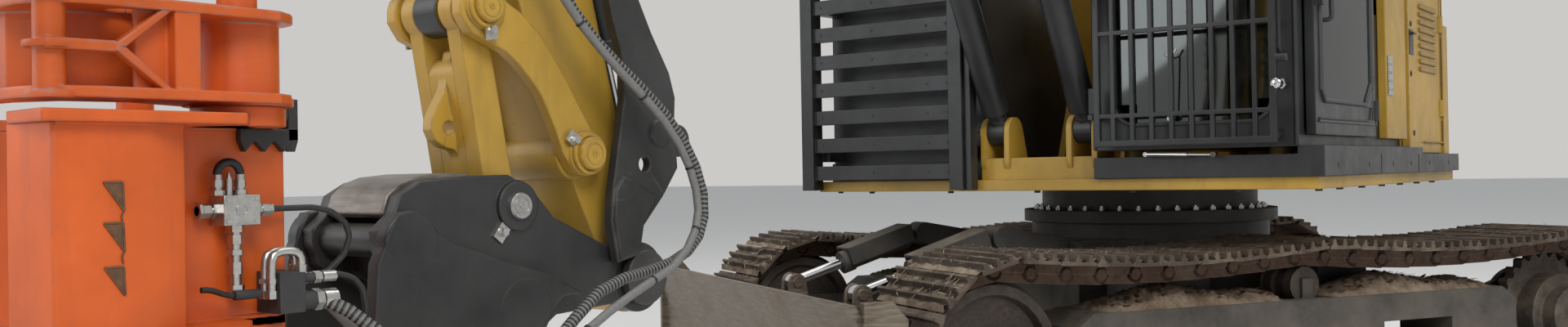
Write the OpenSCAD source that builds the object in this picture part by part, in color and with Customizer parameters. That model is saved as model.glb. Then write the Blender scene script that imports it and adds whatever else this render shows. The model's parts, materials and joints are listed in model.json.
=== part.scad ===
/* [Undercarriage] */
// Distance between idler centre and sprocket centre
track_base = 3200; // [3000:20:3500]
// Distance between the centre lines of the two tracks
gauge = 2000; // [1940:10:2200]
// Width of one track shoe
shoe_w = 600; // [450:10:640]
// Radius of the chain pins round idler and sprocket
pin_r = 350; // [320:5:380]
// Height of the chain links
link_h = 90; // [70:2:100]
// Width of one chain rail
rail_w = 50; // [30:2:60]
// Gap between the two rails of a chain
rail_gap = 70; // [60:2:90]
// Thickness of a shoe plate
shoe_t = 20; // [12:1:26]
// Height of the lugs on a shoe
lug_h = 25; // [15:1:35]
// Number of shoes on one track
shoe_n = 50; // [46:1:54]
// Sag of the upper run between its supports
track_sag = 42; // [10:2:60]
// Bottom rollers on one side
roller_n = 7; // [5:1:8]
// Radius of a bottom roller tread
roller_r = 78; // [60:1:85]
// Radius of the carrier roller
carrier_r = 75; // [60:1:80]
// Length of a track frame
frame_l = 2500; // [2300:20:2560]
// Height of the top of a track frame
frame_top_z = 600; // [560:5:620]
// Width of a track frame
frame_w = 300; // [260:5:320]
// Turn of the house over the tracks as parked
swing_rest = 30; // [0:1:60]
// Radius of the carbody hub
hub_r = 600; // [560:10:640]
// Underside of the carbody
belly_z = 470; // [430:5:500]
// Height of the top of the carbody
carbody_top_z = 985; // [960:5:1000]

/* [Dozer blade] */
// Width over the blade
blade_w = 2600; // [2400:20:2700]
// Height of the blade plate
blade_h = 590; // [500:10:620]
// Height of the cutting edge above ground as parked
blade_lift = 120; // [60:5:150]
// Distance from the swing axis to the back of the blade
blade_u = 2230; // [2200:5:2300]
// Thickness of the blade plate
blade_t = 28; // [20:1:40]
// Height of the push arm pivots
blade_pin_z = 440; // [400:5:470]
// Distance from the swing axis to the push arm pivots
blade_pin_u = 960; // [900:5:1000]
// Half distance between the push arms
blade_arm_v = 380; // [340:5:420]
// Distance from the swing axis to the blade cylinder pins
blade_eye_u = 1870; // [1820:5:1900]
// Height of the blade cylinder pins on the arms
blade_eye_z = 655; // [630:5:680]

/* [House] */
// Underside of the house
deck_z = 1100; // [1080:5:1140]
// Width over the deck beams
house_w = 2500; // [2400:10:2600]
// Distance from the swing axis to the front of the deck
front_x = 1300; // [1250:5:1360]
// Radius of the tail
tail_r = 1750; // [1700:10:1800]
// Height of the deck beams
beam_h = 90; // [70:5:110]
// Thickness of the deck floor plate
floor_t = 50; // [30:2:60]
// Height of the engine hood above the deck floor
hood_h = 1000; // [900:10:1100]
// Width of the slatted guard at the right front
slat_guard_w = 960; // [900:10:970]
// Height of one guard slat
slat_h = 71; // [50:1:80]
// Spacing of the guard slats
slat_pitch = 138; // [120:1:150]
// Number of guard slats
slat_n = 8; // [6:1:9]

/* [Cab] */
// Width of the cab
cab_w = 850; // [800:5:860]
// Length of the cab
cab_l = 1650; // [1500:10:1700]
// Height of the cab roof above ground
cab_top_z = 2930; // [2850:10:3000]
// Thickness of the cab walls
cab_t = 60; // [40:1:70]
// Thickness of the cab glass
glass_t = 8; // [5:1:12]
// Sill height of the cab door glass above the cab floor
door_sill = 150; // [120:5:250]
// Distance of the front mesh guard ahead of the windscreen
mesh_gap = 70; // [60:5:90]

/* [Boom and stick] */
// Distance from the swing axis to the boom foot pin
foot_x = 300; // [280:5:330]
// Height of the boom foot pin
foot_z = 1600; // [1580:5:1640]
// Horizontal reach from boom foot pin to stick pin
boom_reach = 4420; // [4380:5:4460]
// Rise from boom foot pin to stick pin
boom_rise = 1820; // [1790:5:1850]
// Width of the boom
boom_w = 280; // [260:2:290]
// Width of the stick
stick_w = 220; // [190:2:224]
// Length of the stick from boom pin to tool pin
stick_l = 2616; // [2590:2:2640]
// Forward lean of the stick as parked
stick_lean = 17.1; // [15:0.1:19]

/* [Cylinders] */
// Bore body radius of the boom cylinders
boom_cyl_r = 62; // [50:1:65]
// Rod radius of the boom cylinders
boom_rod_r = 40; // [30:1:42]
// Bore body radius of the stick cylinder
stick_cyl_r = 72; // [60:1:80]
// Rod radius of the stick cylinder
stick_rod_r = 45; // [35:1:50]
// Bore body radius of the tool cylinder
tool_cyl_r = 62; // [50:1:66]
// Rod radius of the tool cylinder
tool_rod_r = 38; // [30:1:42]
// Running clearance of rods in their barrels
rod_gap = 0.3; // [0.2:0.1:0.6]

/* [Coupler and thumb] */
// Spacing of the two pins of the quick coupler
coupler_pins = 478; // [460:1:490]
// Thickness of a coupler side plate
ear_t = 42; // [34:1:46]
// Radius of the pins at the tool end
tool_pin_r = 38; // [30:1:42]
// Length of the thumb
thumb_l = 1150; // [1000:10:1250]
// Width over the thumb plates
thumb_w = 300; // [280:2:320]

/* [Felling head] */
// Width of the head column
head_w = 560; // [480:10:620]
// Overall height of the head column above ground
head_column_z = 1310; // [1280:5:1340]
// Height of the underside of the head above ground
head_base_z = 40; // [20:5:80]
// Radius of the arm pivot tube
pivot_r = 84; // [70:1:95]
// Thickness of the clamp arm plates
clamp_t = 26; // [18:1:34]

/* [Hidden] */
$fn = 48;
// Clearance of round faces that sit on each other
gap = 0.3;
// Clearance between plates that move past each other
play = 5;

// Colours of the object
yellow = [0.86, 0.62, 0.08];
black = [0.07, 0.07, 0.07];
steel = [0.55, 0.55, 0.56];
rust = [0.25, 0.17, 0.12];
orange = [0.93, 0.33, 0.05];

// Track measures
track_c = pin_r + link_h / 2 + shoe_t + lug_h;
track_in = gauge / 2;
loop_l = 2 * track_base + 2 * PI * pin_r;
pitch = loop_l / shoe_n;
half_turn = pitch / pin_r * 180 / PI / 2;
wheel_r = (pin_r - link_h / 2) * cos(half_turn) - gap;
rail_z = track_c - pin_r + link_h / 2;
rail_out = rail_gap / 2 + rail_w;
frame_v = frame_w / 2;
skirt_t = 30;
frame_low = rail_z + 2 * roller_r + 22;

// Pivots of the blade in its own turned plane
blade_pin = [blade_pin_u, blade_pin_z];
blade_eye = [blade_eye_u, blade_eye_z];
blade_foot = [1150, 880];
blade_cyl_r = 50;
blade_rod_r = 26;
blade_barrel_l = 480;
blade_rod_l = 535;

// Pivots of boom, stick and linkage, each as distance ahead and height
foot = [foot_x, foot_z];
tip = foot + [boom_reach, boom_rise];
lean_up = [sin(stick_lean), cos(stick_lean)];
lean_out = [cos(stick_lean), -sin(stick_lean)];
tool = tip - stick_l * lean_up;
function on_stick(a, p) = tool + a * lean_up + p * lean_out;
coupler_tilt = 26;
cup = [cos(coupler_tilt), sin(coupler_tilt)];
cside = [-sin(coupler_tilt), cos(coupler_tilt)];
function on_coupler(a, p) = tool + a * cup + p * cside;
link_pin = on_coupler(coupler_pins, 0);
side_pin = on_stick(381, 81);
side_link_l = 488;
side_link_a = 47.5;
top_pin = side_pin + side_link_l * [cos(side_link_a), sin(side_link_a)];
tool_cyl_pin = on_stick(2350, 330);
boom_cyl_foot = [1180, 1370];
boom_cyl_eye = foot + [1800, 1420];
stick_cyl_foot = foot + [2250, 2380];
tail_l = 620;
tail_a = 42.9;
stick_cyl_eye = tip + tail_l * [cos(tail_a), sin(tail_a)];

// Cylinder places beside the boom
boom_half = boom_w / 2;
stick_half = stick_w / 2;
boom_cyl_y = boom_half + boom_cyl_r + 13;
boom_eye_w = 84;
stick_eye_w = 94;
tool_eye_w = 90;
boom_barrel_l = 1290;
boom_rod_l = 1290;
stick_barrel_l = 1560;
stick_rod_l = 1600;
tool_barrel_l = 1360;
tool_rod_l = 1300;

// House measures
deck_top = deck_z + floor_t;
beam_top = deck_top + beam_h;
step_t = 30;
cab_z = beam_top + step_t;
bay_left = 300;
bay_right = -320;
cab_left = bay_left + cab_w;
house_half = house_w / 2;
body_half = house_half - 50;
hood_front = front_x - cab_l - 40;
hood_back = -1150;
hood_top = deck_top + hood_h;
shell_t = 40;

// Head measures
head_half = head_w / 2;
head_x = 4990;
head_back_l = 330;
head_front_l = 230;
flange_t = 22;
waist_z = 975;

// Helpers
module uc() { rotate([0, 0, -swing_rest]) children(); }
module both() { for (s = [0, 1]) mirror([0, s, 0]) children(); }
module band(y0, y1) { translate([0, y1, 0]) rotate([90, 0, 0]) linear_extrude(y1 - y0) children(); }
module axle(p, r, y0, y1) {
    translate([p[0], y1, p[1]]) rotate([90, 0, 0]) cylinder(r = r, h = y1 - y0);
}
module toward(p, q) {
    translate([p[0], 0, p[1]]) rotate([0, atan2(q[0] - p[0], q[1] - p[1]), 0]) children();
}
// Plate outline with a round end at each of two pins
module bar2(p, q, r1, r2) {
    d = norm(q - p);
    u = (q - p) / d;
    w = [-u[1], u[0]];
    f = acos((r1 - r2) / d);
    n1 = u * cos(f) + w * sin(f);
    n2 = u * cos(f) - w * sin(f);
    translate(p) circle(r = r1);
    translate(q) circle(r = r2);
    polygon([p + r1 * n1, q + r2 * n1, q + r2 * n2, p + r1 * n2]);
}

// Path of the chain pins, as distance ahead and height, from the way along it
function sag(f) = -track_sag * 4 * f * (1 - f);
function way(s) =
    s < track_base ? [s - track_base / 2, track_c - pin_r] :
    s < track_base + PI * pin_r ?
        let (a = (s - track_base) / pin_r * 180 / PI - 90)
        [track_base / 2 + pin_r * cos(a), track_c + pin_r * sin(a)] :
    s < 2 * track_base + PI * pin_r ?
        let (f = (s - track_base - PI * pin_r) / track_base, g = f < 0.5 ? 2 * f : 2 * f - 1)
        [track_base / 2 - f * track_base, track_c + pin_r + sag(g)] :
        let (a = (s - 2 * track_base - PI * pin_r) / pin_r * 180 / PI + 90)
        [-track_base / 2 + pin_r * cos(a), track_c + pin_r * sin(a)];
function pin_at(k) = way(((k + shoe_n) % shoe_n) * pitch);
function out_of(v) = [v[1], -v[0]] / norm(v);
function edge(k, h) = pin_at(k) + h * out_of(pin_at(k + 1) - pin_at(k - 1));
// Lugs on a shoe: share of the pitch, height over the plate
lugs = [[0.03, 0], [0.09, 1], [0.17, 0], [0.43, 0], [0.5, 1], [0.57, 0], [0.83, 0], [0.91, 1], [0.97, 0]];
tread = [for (k = [0 : shoe_n - 1], g = lugs)
    let (a = pin_at(k), b = pin_at(k + 1))
    a + g[0] * (b - a) + (link_h / 2 + shoe_t + g[1] * lug_h) * out_of(b - a)];
function ring_at(h) = [for (k = [0 : shoe_n - 1]) edge(k, h)];

module track() {
    color(rust) translate([0, 0, 0]) {
        band(-shoe_w / 2, shoe_w / 2) difference() {
            polygon(tread);
            polygon(ring_at(link_h / 2));
        }
        both() band(rail_gap / 2, rail_out) difference() {
            polygon(ring_at(link_h / 2 + shoe_t / 2));
            polygon(ring_at(-link_h / 2));
        }
    }
}
module track_left() { uc() translate([0, track_in, 0]) track(); }
module track_right() { uc() translate([0, -track_in, 0]) track(); }

// Wheel turned about its axle, from radius and half width
module turned(rows) {
    rotate([90, 0, 0]) rotate_extrude()
        polygon(concat(rows, [for (i = [len(rows) - 1 : -1 : 0]) [rows[i][0], -rows[i][1]]]));
}
hub_half = frame_v - skirt_t - gap;
idler_rows = [[0, hub_half], [75, hub_half], [75, 45], [wheel_r - 55, 45], [wheel_r - 40, rail_out],
    [wheel_r, rail_out], [wheel_r, rail_gap / 2 - 3], [wheel_r + 24, rail_gap / 2 - 10]];
module idlers() {
    color(rust) uc() for (s = [-1, 1]) translate([track_base / 2, s * track_in, track_c]) turned(idler_rows);
}
roller_rows = [[0, hub_half], [45, hub_half], [45, rail_out + 16], [roller_r + 16, rail_out + 12],
    [roller_r + 16, rail_out + 2], [roller_r, rail_out + 1], [roller_r, rail_gap / 2], [roller_r - 15, 25]];
carrier_rows = [[0, rail_out + 12], [carrier_r + 8, rail_out + 10], [carrier_r, rail_out],
    [carrier_r, rail_gap / 2], [carrier_r - 12, 25]];
roller_z = rail_z + roller_r + gap;
carrier_z = track_c + pin_r - link_h / 2 - carrier_r - 12;
roller_span = 2200;
module rollers() {
    color(rust) uc() for (s = [-1, 1]) {
        for (i = [0 : roller_n - 1])
            translate([-roller_span / 2 + i * roller_span / (roller_n - 1), s * track_in, roller_z])
                turned(roller_rows);
        translate([0, s * track_in, carrier_z]) turned(carrier_rows);
    }
}
// Sprocket disc with a tooth for each half pitch
tooth_n = round(4 * PI * pin_r / pitch / 2) * 2 - 1;
module sprockets() {
    color(steel) uc() for (s = [-1, 1])
        translate([-track_base / 2, s * track_in + 25, track_c]) rotate([90, 0, 0]) linear_extrude(50)
            polygon([for (i = [0 : tooth_n - 1], g = [[0, 0], [0.25, 26], [0.5, 26], [0.75, 0]])
                (wheel_r - 20 + g[1]) * [cos((i + g[0]) * 360 / tooth_n), sin((i + g[0]) * 360 / tooth_n)]]);
}
drive_r = 195;
module final_drives() {
    color(rust) uc() for (s = [0, 1]) mirror([0, s, 0])
        translate([-track_base / 2, track_in, track_c]) {
            axle([0, 0], drive_r, 25, 115);
            axle([0, 0], drive_r - 60, 115, 185);
            axle([0, 0], drive_r, -frame_v + skirt_t, -25);
        }
}
module track_frames() {
    color(black) uc() for (s = [0, 1]) mirror([0, s, 0]) translate([0, track_in, 0]) {
        difference() {
            band(-frame_v, frame_v) polygon([[-frame_l / 2, frame_low], [frame_l / 2, frame_low],
                [frame_l / 2, frame_top_z - 60], [frame_l / 2 - 90, frame_top_z],
                [-frame_l / 2 + 90, frame_top_z], [-frame_l / 2, frame_top_z - 60]]);
            for (i = [-1, 1]) translate([i * 620, 0, 430]) cube([420, frame_w + 2, 90], center = true);
            translate([-carrier_r - 40, -rail_out - 13, carrier_z - carrier_r - 20])
                cube([2 * carrier_r + 80, 2 * rail_out + 26, 200]);
        }
        both() band(frame_v - skirt_t, frame_v) difference() {
            polygon([[-frame_l / 2, 175], [frame_l / 2 - 60, 175], [frame_l / 2, 260], [frame_l / 2, frame_low],
                [-frame_l / 2, frame_low]]);
        }
        both() band(frame_v - skirt_t, frame_v) {
            translate([track_base / 2, track_c]) circle(r = 95);
            polygon([[frame_l / 2, track_c - 95], [track_base / 2, track_c - 95],
                [track_base / 2, track_c + 95], [frame_l / 2, track_c + 95]]);
        }
        band(-frame_v, -frame_v + skirt_t) {
            translate([-track_base / 2, track_c]) circle(r = drive_r + 20);
            polygon([[-track_base / 2, track_c - drive_r], [-frame_l / 2, 260], [-frame_l / 2, frame_top_z - 60],
                [-track_base / 2, track_c + drive_r]]);
        }
        translate([0, 0, frame_top_z]) for (i = [-1, 1]) translate([-30, i * (rail_out + 12 + gap) + (i < 0 ? -16 : 0), -1])
            cube([60, 16, carrier_z - frame_top_z + 31]);
    }
}
leg_in = track_in - frame_v;
module carbody() {
    color(black) uc() {
        difference() {
            union() {
                translate([0, 0, belly_z]) cylinder(r = hub_r, h = carbody_top_z - belly_z - 60);
                translate([0, 0, carbody_top_z - 60]) cylinder(r = hub_r + 40, h = 60);
                for (i = [-1, 1]) translate([i * 470 - 150, -leg_in, belly_z + 10])
                    cube([300, 2 * leg_in, 260]);
                translate([400, -blade_arm_v - 110, belly_z - 60]) cube([380, 2 * blade_arm_v + 220, 440]);
            }
            translate([0, 0, belly_z - 1]) cylinder(r = 260, h = carbody_top_z);
        }
        both() for (y = [-45 - play - 27, 45 + play]) {
            translate([0, blade_arm_v, 0]) band(y, y + 27) bar2([700, blade_pin[1]], blade_pin, 90, 72);
            translate([0, blade_arm_v, 0]) band(y > 0 ? 28 + play : -28 - play - 21, y > 0 ? 28 + play + 21 : -28 - play)
                bar2([700, 760], blade_foot, 90, 52);
        }
        both() translate([0, blade_arm_v, 0]) {
            axle(blade_pin, 30, -45 - play - 27, 45 + play + 27);
            axle(blade_foot, 24, -28 - play - 21, 28 + play + 21);
        }
    }
}
blade_mid = blade_lift + blade_h / 2;
function bow(t) = 80 * pow(2 * t - 1, 2);
module blade() {
    color(rust) uc() {
        band(-blade_w / 2, blade_w / 2) polygon(concat(
            [for (i = [0 : 10]) [blade_u + blade_t + bow(i / 10), blade_lift + i * blade_h / 10]],
            [for (i = [10 : -1 : 0]) [blade_u + bow(i / 10), blade_lift + i * blade_h / 10]]));
        translate([blade_u - 50, -blade_w / 2 + 60, blade_mid - 70]) cube([60, blade_w - 120, 140]);
        both() translate([0, blade_arm_v, 0]) {
            difference() {
                band(-45, 45) bar2(blade_pin, [blade_u - 30, blade_mid - 10], 60, 58);
                axle(blade_pin, 30 + gap, -46, 46);
            }
            for (y = [-28 - play - 20, 28 + play]) band(y, y + 20) bar2([blade_eye[0] - 10, blade_mid + 10], blade_eye, 75, 44);
            axle(blade_eye, 26, 28 + play + 20, 28 + play + 28);
            axle(blade_eye, 26, -28 - play - 28, -28 - play - 20);
        }
        both() translate([0, blade_w / 2, 0]) difference() {
            band(0, 30) polygon([[blade_u - 120, blade_lift + 60], [blade_u + 60, blade_lift + 60],
                [blade_u + 60, blade_lift + blade_h + 10], [blade_u - 60, blade_lift + blade_h + 10],
                [blade_u - 120, blade_lift + blade_h - 60]]);
            for (z = [0.35, 0.8]) axle([blade_u - 60, blade_lift + z * blade_h], 22, -1, 31);
        }
    }
}
module ram_barrel(p, q, l, r, rr, w, pr) {
    neck = pr + 70;
    difference() {
        union() {
            toward(p, q) cylinder(r = min(r, w / 2 - 1), h = neck + 1);
            toward(p, q) translate([0, 0, neck]) cylinder(r = r, h = l - neck);
            toward(p, q) translate([0, 0, l - 60]) cylinder(r = r + 7, h = 60);
            axle(p, pr + 28, -w / 2, w / 2);
        }
        axle(p, pr + gap, -w, w);
        toward(p, q) translate([0, 0, pr + 35]) cylinder(r = rr + rod_gap, h = l);
    }
}
module ram_rod(p, q, l, rr, w, er) {
    toward(q, p) cylinder(r = rr, h = l);
    axle(q, er, -w / 2, w / 2);
}
module blade_barrels() {
    color(black) uc() both() translate([0, blade_arm_v, 0]) {
        ram_barrel(blade_foot, blade_eye, blade_barrel_l, blade_cyl_r, blade_rod_r, 56, 24);
        toward(blade_foot, blade_eye) difference() {
            translate([-blade_cyl_r - 22, -75, 80]) cube([90, 150, blade_barrel_l - 110]);
            translate([-blade_cyl_r - 10, -65, 70]) cube([100, 130, blade_barrel_l]);
        }
        toward(blade_foot, blade_eye) translate([-blade_cyl_r - 11, -20, 100]) cube([20, 40, 60]);
    }
}
module blade_rods() {
    color(steel) uc() both() translate([0, blade_arm_v, 0])
        ram_rod(blade_foot, blade_eye, blade_rod_l, blade_rod_r, 56, 40);
}
ring_r = 545;
module slew_ring() {
    color(black) difference() {
        translate([0, 0, carbody_top_z + gap]) cylinder(r = ring_r, h = deck_z - carbody_top_z - gap);
        translate([0, 0, carbody_top_z]) cylinder(r = ring_r - 120, h = deck_z);
    }
}
ear_in = boom_half + play;
module house_frame() {
    color(yellow) {
        difference() {
            translate([0, 0, deck_z]) linear_extrude(floor_t) polygon([[front_x - 20, -body_half],
                [front_x - 20, house_half - 30], [hood_back - 100, house_half - 30], [hood_back - 200, 900],
                [hood_back - 200, -900], [hood_back, -body_half]]);
            translate([0, 0, deck_z - 1]) cylinder(r = 250, h = floor_t + 2);
        }
        both() band(ear_in, ear_in + 34) polygon([[foot_x - 480, deck_top], [foot_x + 420, deck_top],
            [foot_x + 260, foot_z - 60], [foot_x + 110, foot_z + 90], [foot_x - 90, foot_z + 110],
            [foot_x - 260, foot_z - 100]]);
        axle(foot, 45, -ear_in - 1, ear_in + 1);
        both() translate([0, boom_cyl_y, 0]) {
            for (y = [-boom_eye_w / 2 - play - 27, boom_eye_w / 2 + play]) band(y, y + 27)
                bar2([boom_cyl_foot[0] - 20, deck_top + 90], boom_cyl_foot, 90, 68);
            axle(boom_cyl_foot, 35, -boom_eye_w / 2 - play - 27, boom_eye_w / 2 + play + 27);
        }
        translate([front_x - 85, -290, deck_z]) cube([25, 580, 150]);
        translate([front_x - 60, -300, deck_z]) cube([40, 590, 26]);
        for (x = [hood_front + 120, front_x - 220], y = [bay_left + 90, cab_left - 130])
            translate([x, y, deck_top]) cylinder(r = 45, h = cab_z - deck_top);
    }
}
module deck_beams() {
    color(black) {
        translate([front_x - 119, bay_left - 5, deck_top]) cube([119, house_half - bay_left + 5, beam_h]);
        translate([hood_back - 100, house_half - 80, deck_top]) cube([front_x - 119 - hood_back + 100, 80, beam_h]);
        translate([hood_front, cab_left, beam_top]) cube([front_x - hood_front, house_half - cab_left, step_t]);
    }
}
module counterweight() {
    color(yellow) difference() {
        intersection() {
            translate([0, 0, deck_z + 5]) cylinder(r = tail_r, h = 830, $fn = 96);
            translate([-tail_r - 10, -body_half, deck_z]) cube([tail_r + 10 + hood_back - 0.5, 2 * body_half, 900]);
        }
        translate([hood_back - 201, -1240, deck_z - 1]) cube([260, 2480, floor_t + 1]);
        translate([hood_back - 101, house_half - 81, deck_top - 1]) cube([400, 90, beam_h + 2]);
    }
}
module engine_block() {
    color(steel) translate([hood_back + 180, -500, deck_top]) cube([500, 1050, 700]);
}
door_in = body_half - 12;
module engine_hood() {
    color(yellow) difference() {
        translate([hood_back, -body_half, deck_top]) cube([hood_front - hood_back, 2 * body_half - 50, hood_h]);
        translate([hood_back + shell_t, -body_half + shell_t, deck_top - 1])
            cube([hood_front - hood_back - 2 * shell_t, 2 * body_half - 50 - 2 * shell_t, hood_h - shell_t + 1]);
        translate([hood_back + 90, body_half - 200, beam_top + 60])
            cube([hood_front - hood_back - 180, 260, hood_h - 260]);
    }
    color(yellow) for (z = hood_hinge_z) translate([hood_back, body_half - 51, beam_top + z - 24])
        cube([11, 46, 24 - gap]);
}
hood_hinge_z = [200, 650];
module service_door() {
    color(yellow) translate([hood_back + 20, body_half - 50 + play, beam_top + play])
        cube([hood_front - hood_back - 40, 34, hood_top - beam_top - 60]);
    color(black) for (z = hood_hinge_z) translate([hood_back + 12, body_half - 6, beam_top + z]) {
        cylinder(r = 12, h = 90);
        translate([0, -9, 0]) cube([40, 9, 90]);
    }
}
right_in = -bay_right;
module right_body() {
    color(black) translate([hood_front + play, -body_half, deck_top + 90])
        cube([front_x - 150 - hood_front - play, body_half - right_in, hood_h - 130]);
    color(yellow) translate([hood_front + play, -body_half, deck_top])
        cube([front_x - 130 - hood_front - play, body_half - right_in, 90]);
}
guard_in = house_half - slat_guard_w;
module slat_guard() {
    color(black) {
        for (y = [-house_half, -guard_in - 104]) translate([front_x - 20 + gap, y, deck_z + 8])
            cube([80, 70, slat_n * slat_pitch + 40]);
        translate([front_x - 20 + gap, -guard_in - 30, deck_z + 8]) cube([60, 30, slat_n * slat_pitch + 40]);
        translate([front_x - 20 + gap, -guard_in - 34, deck_z + 60]) cube([20, 4, slat_n * slat_pitch - 60]);
        for (i = [0 : slat_n - 1])
            translate([front_x + 20, -house_half + 70, deck_z + 57 + i * slat_pitch])
                cube([22, slat_guard_w - 174, slat_h]);
        for (y = [-body_half + 4, -guard_in - 98], z = [0.06, 0.8])
            translate([front_x - 150, y, deck_top + 40 + z * hood_h]) cube([132, 60, 60]);
    }
}
wall_in = cab_t;
cab_back = front_x - cab_l;
sill_z = cab_z + 105;
win_top = cab_top_z - 110;
post = 95;
door_back = cab_back + 660;
module cab_shell() {
    color(black) difference() {
        translate([cab_back, bay_left, cab_z]) cube([cab_l, cab_w, cab_top_z - cab_z]);
        translate([cab_back + cab_t, bay_left + cab_t, cab_z + cab_t])
            cube([cab_l - 2 * cab_t, cab_w - 2 * cab_t, cab_top_z - cab_z - 2 * cab_t]);
        // Windscreen with round lower corners
        translate([front_x - cab_t - 1, bay_left + post, sill_z + 90])
            cube([cab_t + 2, cab_w - 2 * post, win_top - sill_z - 90]);
        translate([front_x - cab_t - 1, bay_left + post + 90, sill_z])
            cube([cab_t + 2, cab_w - 2 * post - 180, 100]);
        for (y = [bay_left + post + 90, cab_left - post - 90])
            translate([front_x - cab_t - 1, y, sill_z + 90]) rotate([0, 90, 0]) cylinder(r = 90, h = cab_t + 2);
        // Door opening, rear side window, right and rear windows
        translate([door_back, cab_left - cab_t - 1, cab_z + cab_t])
            cube([front_x - 90 - door_back, cab_t + 2, win_top - cab_z - cab_t]);
        translate([cab_back + 110, cab_left - cab_t - 1, cab_z + 620])
            cube([door_back - cab_back - 210, cab_t + 2, win_top - cab_z - 620]);
        translate([cab_back + 130, bay_left - 1, cab_z + 620])
            cube([cab_l - 260, cab_t + 2, win_top - cab_z - 620]);
        translate([cab_back - 1, bay_left + 120, cab_z + 640])
            cube([cab_t + 2, cab_w - 240, win_top - cab_z - 640]);
    }
    color(black) cab_brackets();
}
pane_in = cab_t / 2 - glass_t / 2;
module cab_glass() {
    color([0.3, 0.4, 0.4, 0.4]) {
        translate([front_x - pane_in - glass_t, bay_left + post, sill_z + 90])
            cube([glass_t, cab_w - 2 * post, win_top - sill_z - 90]);
        translate([front_x - pane_in - glass_t, bay_left + post + 90, sill_z])
            cube([glass_t, cab_w - 2 * post - 180, 90]);
        translate([cab_back + 110, cab_left - pane_in - glass_t, cab_z + 620])
            cube([door_back - cab_back - 210, glass_t, win_top - cab_z - 620]);
        translate([cab_back + 130, bay_left + pane_in, cab_z + 620])
            cube([cab_l - 260, glass_t, win_top - cab_z - 620]);
        translate([cab_back + pane_in, bay_left + 120, cab_z + 640])
            cube([glass_t, cab_w - 240, win_top - cab_z - 640]);
    }
}
module seat() {
    color(black) translate([cab_back + 420, bay_left + cab_w / 2, cab_z + cab_t]) {
        translate([-150, -180, 0]) cube([340, 360, 300]);
        translate([-190, -240, 300]) cube([500, 480, 120]);
        translate([-190, -230, 420]) rotate([0, -8, 0]) cube([110, 460, 640]);
        for (y = [-290, 240 + 0.5]) translate([-100, y, 300]) cube([360, 49.5, 300]);
    }
}
door_l = front_x - 60 - door_back;
door_y = cab_left + play;
door_t = 38;
hinge_y = door_y + door_t + 2;
door_hinge_z = [120, 1200];
module cab_door() {
    color(black) difference() {
        translate([door_back - 40, door_y, cab_z + 45]) cube([door_l, door_t, win_top - cab_z - 10]);
        translate([door_back + 40, door_y - 1, cab_z + 45 + door_sill])
            cube([door_l - 160, door_t + 2, win_top - cab_z - 100 - door_sill]);
    }
    color([0.3, 0.4, 0.4, 0.4]) translate([door_back + 40, door_y + 14, cab_z + 45 + door_sill])
        cube([door_l - 160, glass_t, win_top - cab_z - 100 - door_sill]);
    color(black) for (z = door_hinge_z) translate([door_back - 40, hinge_y, cab_z + z]) {
        cylinder(r = 14, h = 90);
        translate([0, -10, 0]) cube([60, 10, 90]);
    }
    color(steel) translate([door_back + door_l - 90, door_y + door_t, cab_z + 560]) cube([26, 28, 150]);
}
mesh_y0 = bay_left + 40;
mesh_y1 = cab_left - 50;
mesh_z0 = cab_z + 15;
mesh_z1 = cab_top_z - 20;
mesh_x = front_x + mesh_gap;
bar_r = 9;
mesh_hinge_z = [mesh_z0 + 140, mesh_z1 - 260];
mesh_n = 9;
module mesh_guard() {
    color(black) {
        difference() {
            translate([mesh_x, mesh_y0, mesh_z0]) cube([24, mesh_y1 - mesh_y0, mesh_z1 - mesh_z0]);
            translate([mesh_x - 1, mesh_y0 + 26, mesh_z0 + 26])
                cube([26, mesh_y1 - mesh_y0 - 52, mesh_z1 - mesh_z0 - 52]);
        }
        for (i = [1 : mesh_n - 1]) translate([mesh_x + 3, mesh_y0 + i * (mesh_y1 - mesh_y0) / mesh_n - bar_r, mesh_z0 + 20])
            cube([2 * bar_r, 2 * bar_r, mesh_z1 - mesh_z0 - 40]);
        for (z = [mesh_z0 + 120, mesh_z0 + 470, mesh_z0 + 820, mesh_z0 + 1170])
            translate([mesh_x + 3, mesh_y0 + 20, z]) cube([2 * bar_r, mesh_y1 - mesh_y0 - 40, 2 * bar_r]);
        for (z = mesh_hinge_z) translate([mesh_x + 12, mesh_y0 - 14, z]) {
            cylinder(r = 13, h = 110);
            cube([10, 20, 110]);
        }
    }
    color(steel) translate([mesh_x + 12, mesh_y1 - 1, mesh_z0 + 330]) rotate([-90, 0, 0]) cylinder(r = 16, h = 40);
}
module cab_brackets() {
    for (z = mesh_hinge_z) translate([front_x - 1, mesh_y0 - 28, z - 24]) cube([mesh_gap + 22, 22, 24 - gap]);
    for (z = door_hinge_z) translate([door_back - 60, cab_left - 1, cab_z + z - 24])
        cube([17, hinge_y - cab_left + 1, 24 - gap]);
}
boom_top = [[-170, 40], [280, 930], [740, 1500], [1350, 1930], [1960, 2100], [2700, 2120]];
boom_low = [[2600, 1450], [1850, 1270], [1300, 1060], [750, 640], [165, -60]];
tip_h = 170;
slot_r = 600;
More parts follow.
